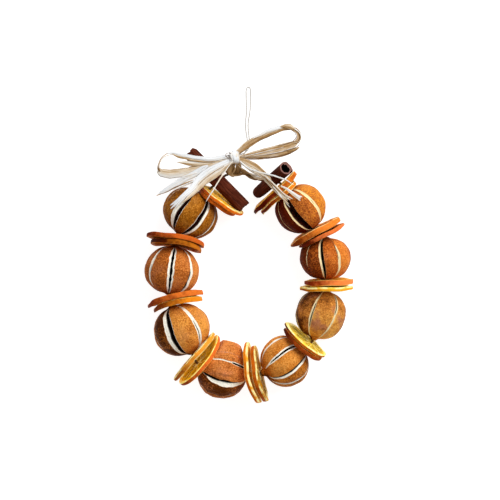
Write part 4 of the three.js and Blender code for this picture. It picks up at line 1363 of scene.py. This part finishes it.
# %% The right loop's strips
STRIPS["bow_loop_right"] = [
    Strip([(-13, 139.4, 39.4, 2), (-5, 147, 39.6, 3), (3, 152.4, 39.3, 3), (11.3, 157, 39.1, 2.4),
           (17, 159.8, 39, 0.6)], (0.5, 0.34), fold=0.3),
    Strip([(4, 153.4, 39.6, 0.8), (11.3, 157.4, 39.5, 2.8), (21.8, 162, 39.4, 3.8),
           (32.3, 165.2, 39.5, 3.8), (39, 166.2, 39.4, 1)], (0.9, 0.74), fold=0.2),
    Strip([(-12, 138.4, 38.4, 4), (-3, 145.3, 38.3, 6), (6.6, 151, 38, 5), (18.3, 157, 38, 4.2),
           (30, 161.4, 38.2, 4.2), (38, 163.4, 38.4, 3.8), (44, 163.6, 38.4, 2.4)], (0.42, 0.22),
           fold=0.25),
    Strip([(-10, 137.6, 37.2, 1.2), (0, 144.4, 37.2, 1.8), (8, 149.8, 37, 1.6),
           (20, 155.6, 37.2, 1.4), (31, 159.8, 37.5, 0.6)], (0.15, 0.1)),
    Strip([(33, 165.4, 40, 1.6), (38, 166, 40.3, 4.6), (42.5, 165.6, 40.3, 6),
           (47.5, 163, 40, 2.4)], (0.5, 0.3), fold=0.3),
    Strip([(45, 165, 39.6, 1.6), (49.6, 162.2, 39.7, 1.4), (53.2, 159, 39.5, 1.2),
           (54.4, 154.6, 39.3, 1.1), (52.8, 150, 39, 0.9)], (0.8, 0.7)),
    Strip([(44, 164, 38.6, 3.4), (48, 162, 38.6, 4.8), (51, 158.6, 38.5, 5.2),
           (51.8, 154, 38.3, 4.8), (50, 150.4, 38.3, 4), (46, 148.6, 38.3, 2)], (0.2, 0.34),
           fold=0.3, parts=2),
    Strip([(46.5, 160.4, 39.8, 0.7), (49.2, 158.2, 40, 0.9), (50, 154.4, 39.8, 0.8),
           (48.4, 151.4, 39.5, 0.6)], (0.9, 0.8)),
    Strip([(-12, 133.8, 38.6, 1.5), (-1, 137, 38.6, 2.4), (10.2, 140.2, 38.5, 2.8),
           (22, 142.7, 38.5, 3.2), (33, 145.6, 38.6, 3.8), (44, 148.6, 38.6, 3.4),
           (50, 150.4, 38.5, 2)], (0.52, 0.3)),
    Strip([(-12, 133.6, 39, 1.5), (-1, 135.6, 39.2, 3), (10.2, 137.8, 39.2, 3.8),
           (22, 140.2, 39.3, 4.8), (34, 142.8, 39.3, 5.8), (45, 146.4, 39.2, 5.6),
           (52, 149.4, 39, 3.4)], (0.3, 0.44), fold=0.25, parts=2, spread=0.3),
    Strip([(-12, 133.2, 38, 1.5), (-1, 134.4, 38, 3.2), (10.2, 135.6, 38, 4.2),
           (22, 137, 38, 5.2), (34, 139.2, 38.2, 5.8), (44, 142.2, 38.2, 5.6),
           (52, 146, 38.4, 4.6)], (0.24, 0.4), fold=0.2, parts=2, spread=0.5),
    Strip([(-12, 132.6, 37.2, 1.2), (0, 132.8, 37.2, 1.8), (10, 133.3, 37.3, 2.4),
           (22, 134.3, 37.4, 2.8), (34, 136.2, 37.5, 3), (43, 139, 37.8, 3),
           (50.5, 142.6, 38, 1.6)], (0.3, 0.1)),
    Strip([(-12, 133.6, 40, 0.5), (4, 136.6, 40.2, 0.6), (20, 140.4, 40.3, 0.6),
           (36, 144.4, 40.2, 0.3)], (0.75, 0.75)),
    Strip([(2, 134.6, 39.3, 0.3), (24, 137.8, 39.5, 0.6), (40, 141.4, 39.5, 0.8),
           (49, 144.6, 39.4, 0.4)], (0.8, 0.7)),
    Strip([(40, 140, 38.8, 1.4), (47, 141.6, 38.8, 2.4), (52.6, 144.4, 38.6, 1.4)], (0.36, 0.2)),
    Strip([(30, 145.8, 39.9, 0.3), (40, 148.2, 40, 0.7), (46.6, 151, 40, 0.8),
           (49.4, 155, 39.9, 0.8), (49.2, 160, 40, 0.3)], (0.05, 0.02)),
    Strip([(36, 140.6, 39.6, 0.3), (44, 142.2, 39.7, 0.7), (50.6, 145, 39.6, 0.7),
           (54.2, 149.8, 39.4, 0.3)], (0.08, 0.08)),
    Strip([(45, 149.8, 40.2, 0.8), (49, 149.4, 40.3, 1.6), (53, 151.6, 40.1, 1.3),
           (54.6, 156, 39.8, 0.4)], (0.16, 0.5)),
    Strip([(-11, 131.8, 37.6, 0.5), (6, 131.6, 37.6, 0.7), (22, 132.8, 37.8, 0.7),
           (36, 135, 38, 0.7), (47, 139.8, 38.2, 0.4)], (0.12, 0.08)),
]

# %% The right tails' strips
STRIPS["tail_right_long"] = [
    Strip([(-12, 132, 42.6, 3), (-4.5, 129, 43, 6.5), (4, 124.4, 44.2, 7.6),
           (11, 119.6, 46.5, 6.6), (18, 114.4, 50, 5), (24.5, 109.4, 54.4, 2)], (0.36, 0.56),
           fold=0.3, parts=3),
    Strip([(-12, 131, 42, 2.4), (-5, 126.2, 42.4, 3.4), (2, 121.4, 43.4, 4), (9, 117, 45.4, 4),
           (16, 112, 48.8, 4), (22, 106, 53.4, 3.4), (28, 98.6, 57.4, 2.6), (33, 93, 57, 0.6)],
           (0.46, 0.66), fold=0.3, parts=2),
    Strip([(5, 118.4, 46.6, 1.6), (12, 114.8, 48.8, 3.8), (18.9, 109.8, 52.4, 5.2),
           (26.3, 101.9, 57.8, 5.6), (34.7, 93.3, 57.6, 5.4), (44.6, 86.4, 54.8, 5.2)],
           (0.66, 0.48), fold=0.3, parts=4, spread=0.8),
    Strip([(16, 113.4, 52, 0.5), (24, 105.4, 57.6, 1.1), (33, 96.8, 59, 1.1),
           (40, 91, 57.6, 0.4)], (0.1, 0.2)),
    Strip([(8, 117.6, 49, 0.4), (16, 112.2, 52.6, 0.8), (23, 104, 58, 0.9),
           (30.5, 95.4, 59, 0.4)], (0.12, 0.1)),
    Strip([(25, 102.6, 58.4, 1.4), (31.6, 94.6, 58.4, 1.6), (38, 87.2, 55.8, 1.3),
           (42.4, 81.4, 53, 0.4)], (0.85, 0.7)),
    Strip([(-9.7, 129.4, 44.2, 1.1), (-0.4, 122.6, 45.6, 1.6), (6.7, 119, 47.2, 1.8),
           (18.3, 116.1, 51, 1.8), (27.7, 113.7, 54.5, 1.8), (37, 110.2, 56.6, 1.6),
           (46.3, 105, 57, 0.5)], (0.85, 0.7)),
]
STRIPS["tail_right_short"] = [
    Strip([(33, 103.6, 57, 1.4), (39.5, 99.7, 57, 2.2), (45.2, 95.8, 56.2, 3.2),
           (50.5, 92.4, 54.8, 3.8), (54.6, 90, 53.4, 4.4)], (0.84, 0.66), fold=0.2, parts=3,
           spread=0.6),
]

# %% The twist's strips
STRIPS["raffia_twist"] = [
    Strip([(-23, 118.4, 25.6, 2.5), (-17, 117.4, 27.2, 6), (-10, 118.9, 28.6, 6.5),
           (-4, 118.2, 30, 4.6), (1.5, 114.8, 32, 5), (8, 112.4, 35, 5.4),
           (14.5, 111.9, 37.4, 3)], (0.26, 0.1), fold=0.4, roll=(-30, 250)),
    Strip([(-23, 119.6, 26.6, 2), (-16, 119.9, 28.4, 5), (-9, 120.8, 29.8, 5.5),
           (-3, 118.4, 31.4, 4), (3, 115.4, 33.6, 4.6), (9, 113.8, 36, 5),
           (14.5, 113, 37.8, 2.6)], (0.36, 0.2), fold=0.4, roll=(40, -160)),
    Strip([(-22.6, 116.8, 26.4, 1.6), (-16.4, 115.4, 27.6, 3), (-11, 115.6, 28.6, 3),
           (-5, 116.6, 30, 2.6), (1, 112.6, 32, 3), (7, 110.6, 34.6, 3), (12, 110.6, 36.4, 1.6)],
           (0.2, 0.34), fold=0.3, roll=(0, 60)),
    Strip([(1.5, 116.4, 35.4, 2), (6.6, 113.8, 37, 4.4), (11.6, 112, 38.4, 4.4),
           (16, 112.2, 39, 1.6)], (0.72, 0.5), fold=0.3),
    Strip([(-15, 130, 32.6, 5), (-17.4, 125.6, 32.2, 6.5), (-19.2, 121.4, 31.4, 6.5),
           (-18.6, 117.4, 29.4, 6), (-15.4, 114.6, 26.6, 3.5)], (0.2, 0.38), fold=0.4,
           roll=(20, -30)),
    Strip([(-11.4, 129.4, 33, 4), (-10.6, 125, 33, 6), (-11.8, 120.6, 32, 6),
           (-12.6, 116.6, 29.6, 3)], (0.12, 0.26), fold=0.4, roll=(-20, 40)),
    Strip([(-18, 129, 33.4, 2.4), (-21.4, 124.6, 32.6, 3.6), (-23.2, 120.4, 30.8, 3.6),
           (-23, 117.2, 28, 1.6)], (0.34, 0.2), fold=0.3),
    Strip([(-17.6, 127, 35, 0.8), (-14.8, 122.4, 34.8, 1.3), (-16.4, 118.4, 33, 1.3),
           (-20.4, 116.4, 30, 0.5)], (0.4, 0.25)),
    Strip([(-13.4, 127, 35.2, 1), (-8.6, 122.6, 34.8, 2), (-4.4, 120, 33.6, 2.2),
           (0.4, 117.4, 34, 0.8)], (0.4, 0.2)),
]
print("strips:", sum(len(strips) for strips in STRIPS.values()))

# %% The raffia's material
RAFFIA_WHITE = paint(228, 231, 234)
RAFFIA_CREAM = paint(220, 206, 184)
RAFFIA_TAN = paint(170, 132, 82)
RAFFIA_BROWN = paint(92, 58, 24)
RAFFIA_STAINS = 90


def raffia_material():
    """Colour from white to brown by each strip's tone, with streaks along its fibres and a
    brown line where its edge is thin."""
    recipe = Recipe("raffia_fibre", roughness=0.6, specular=0.2)
    across, along = recipe.part(recipe.texture)
    streaks = recipe.noise(recipe.grain(across, along, 2.0, 0.05), 1.0, 4.0, 0.3)
    stains = recipe.noise(recipe.place, RAFFIA_STAINS)
    tone = recipe.vary(recipe.value("tone"), streaks, 0.8)
    tone = recipe.vary(tone, stains, 0.4)
    colour = recipe.ramp(tone, (0.0, RAFFIA_BROWN), (0.32, RAFFIA_TAN), (0.62, RAFFIA_CREAM),
                         (0.86, RAFFIA_WHITE))
    worn = recipe.sum("MULTIPLY", recipe.value("edge"), recipe.fit(stains, 0.4, 0.6, 0.2, 0.9))
    colour = recipe.mix(recipe.fit(worn, 0.15, 0.8, 0.0, 0.5), colour, RAFFIA_BROWN)
    return recipe.finish(colour, recipe.bump(streaks, 0.25))


# %% The surface of a strip
STRIP_COLUMNS = 13
# across the top from edge to edge and back underneath; then which side each place is on
STRIP_TOP = np.linspace(-1, 1, STRIP_COLUMNS)
STRIP_ACROSS = np.r_[STRIP_TOP, STRIP_TOP[-2:0:-1]]
STRIP_FACE = np.r_[0, np.ones(STRIP_COLUMNS - 2), 0, -np.ones(STRIP_COLUMNS - 2)]
STRIP_THICKNESS = 0.14
CREASE_WIDTH = 0.9
CREASE_STRETCH = 0.07


def lay_strip(bundle, route, across, out, width, tone, seed, fold=0.0, curl=0.0, crinkle=0.3):
    """Adds a strip along a route: columns go over its top from one edge to the other and back
    under it. Creases are ridges that keep their place across the strip and change slowly along
    it. The tone is one number, or one for each point of the grid."""
    half = width[:, None] / 2
    sway = STRIP_ACROSS * half
    along = lengths_along(route)
    place = np.stack(np.broadcast_arrays(sway, along[:, None] * CREASE_STRETCH), -1)
    ridges = unevenness(place, CREASE_WIDTH, seed) * crinkle * np.minimum(1, half / 2)
    bend = half * (curl * (STRIP_ACROSS ** 2 - 0.4) - fold * (np.abs(STRIP_ACROSS) - 0.5))
    height = ridges + bend + STRIP_FACE * STRIP_THICKNESS / 2
    points = route[:, None] + across[:, None] * sway[..., None] + out[:, None] * height[..., None]
    bundle.tube(points, np.c_[sway, sway[:, 0]] + seed * 7.3, along + seed * 3.1,
                tone=np.broadcast_to(tone, height.shape),
                edge=np.broadcast_to(np.abs(STRIP_ACROSS) ** 5, height.shape))


# %% Strips along their routes
STRIP_STEP = 0.7
SPREAD_FROM = 0.78
SWAY, SWAY_LENGTH = 0.25, 7.0
SHORTER = 0.07
TAPER = 0.08
PART_OVERLAP = 1.25
PART_LIFT = 0.22
LEAST_WIDTH = 0.3


def strip_frame(spec):
    """A strip's route, its directions to the left and out of the front, and how far along it
    each place is, from 0 to 1. The roll turns both directions about the route."""
    places = np.array(spec.places)[:, :3]
    steps = int(lengths_along(smooth_route(places, 200))[-1] / STRIP_STEP) + 4
    route = smooth_route(places, steps)
    direction = directions(route)
    across = np.cross(FRONT, direction)
    across /= np.linalg.norm(across, axis=1, keepdims=True)
    out = np.cross(direction, across)
    at = np.linspace(0, 1, len(route))
    angle = np.radians(np.interp(at, [0, 1], spec.roll))[:, None]
    across, out = (across * np.cos(angle) + out * np.sin(angle),
                   out * np.cos(angle) - across * np.sin(angle))
    return route, across, out, at


def add_strip(bundle, spec, seed):
    """Adds a strip, or the narrow parts that it is split into, side by side. The tone changes
    over the middle of the strip from its left to its right value."""
    route, across, out, at = strip_frame(spec)
    wide = np.interp(at, np.linspace(0, 1, len(spec.places)), np.array(spec.places)[:, 3])
    apart = 1 + spec.spread * np.clip((at - SPREAD_FROM) / (1 - SPREAD_FROM), 0, 1) ** 1.5
    track = np.stack([lengths_along(route), np.full(len(route), seed * 31.0)], -1)
    sway = SWAY * unevenness(track, SWAY_LENGTH, seed) * np.minimum(wide, 1.5)
    left, right = spec.tone
    for part in range(spec.parts):
        lane = (2 * part + 1) / spec.parts - 1
        last = 1 - SHORTER * ((part * 0.618 + seed * 0.37) % 1) * (spec.parts > 1)
        kept = at <= last
        centre = route + across * (sway + lane * apart * wide / 2)[:, None]
        centre = centre + out * (PART_LIFT * (part % 2))
        taper = np.clip((last - at) / TAPER, 0, 1) ** 0.6 if spec.parts > 1 else 1.0
        share = PART_OVERLAP / spec.parts if spec.parts > 1 else 1.0
        width = np.maximum(wide * share * taper, LEAST_WIDTH)
        place = np.clip((lane + STRIP_ACROSS / spec.parts) * 1.4 + 0.5, 0, 1)
        tone = right + (left - right) * place * place * (3 - 2 * place)
        lay_strip(bundle, centre[kept], across[kept], out[kept], width[kept], tone,
                  seed * 5 + part, fold=spec.fold)


# %% Make the bow
raffia = raffia_material()
for bundle_number, (node, strips) in enumerate(STRIPS.items()):
    bundle = Bundle()
    for seed, spec in enumerate(strips, 100 + 20 * bundle_number):
        add_strip(bundle, spec, seed)
    bundle.finish(f"{node}_strips", node, raffia, "raffia")

# %% [markdown]
# ## The knot
#
# Strips wound round the middle of the bow and tucked in under it. They could be one wide band,
# but the turns overlap, so each is a strip of its own, whose route is a circle about the line of
# the bow, a little further out than the one before. They slant, they draw together and turn
# brown on the lower side, and two thin hairs curl beside them.

# %% The knot
KNOT_RADIUS = 6.0
# where along the bow, width, tone, and how far the wrap slants from its lower to its upper side
KNOT_WRAPS = [(-2.2, 5.4, 0.7, 1.2), (2.5, 5.4, 0.6, 0.4), (0.4, 5.2, 0.7, -0.8),
              (-2.4, 4.6, 0.82, 0.9), (1.1, 6.2, 0.88, 1.0)]
HAIRS = [
    Strip([(-18.4, 137.4, 43.6, 0.5), (-22.3, 138, 44.6, 0.5), (-24.6, 135.8, 44.8, 0.5),
           (-22.8, 133.4, 44.8, 0.5), (-20.6, 131.4, 44.4, 0.5), (-19.6, 128.6, 44, 0.3)],
           (0.02, 0.02)),
    Strip([(-25, 134.4, 44.4, 0.3), (-21.6, 135.4, 45.2, 0.45), (-19, 133, 44.8, 0.45),
           (-18, 129.6, 44.4, 0.3)], (0.1, 0.1)),
]
WRAP_STEPS = 110
WRAP_TURNS = 1.04
WRAP_RISE = 0.2
UNDER_NARROW, UNDER_DARK, UNDER_CLOSE = 0.25, 0.5, 0.3

knot = Bundle()
for number, (along, width, tone, slant) in enumerate(KNOT_WRAPS):
    angle = np.linspace(0, 2 * math.pi * WRAP_TURNS, WRAP_STEPS) - math.pi / 2
    spin = np.stack([np.zeros(WRAP_STEPS), np.cos(angle), np.sin(angle)], -1)
    under = np.clip((-0.7 - np.cos(angle)) / 0.3, 0, 1)
    squash = 1 + 0.03 * np.sin(3 * angle + number * 2)
    route = KNOT_MIDDLE + spin * ((KNOT_RADIUS + WRAP_RISE * number) * squash)[:, None]
    route[:, 0] += (along - slant * np.cos(angle)) * (1 - UNDER_CLOSE * under)
    across = np.tile([1.0, 0, 0], (WRAP_STEPS, 1))
    lay_strip(knot, route, across, spin, width * (1 - UNDER_NARROW * under),
              (tone - UNDER_DARK * under)[:, None], 300 + number, curl=-0.12, crinkle=0.4)
for seed, spec in enumerate(HAIRS, 330):
    add_strip(knot, spec, seed)
knot.finish("knot_wraps", "knot", raffia, "raffia")
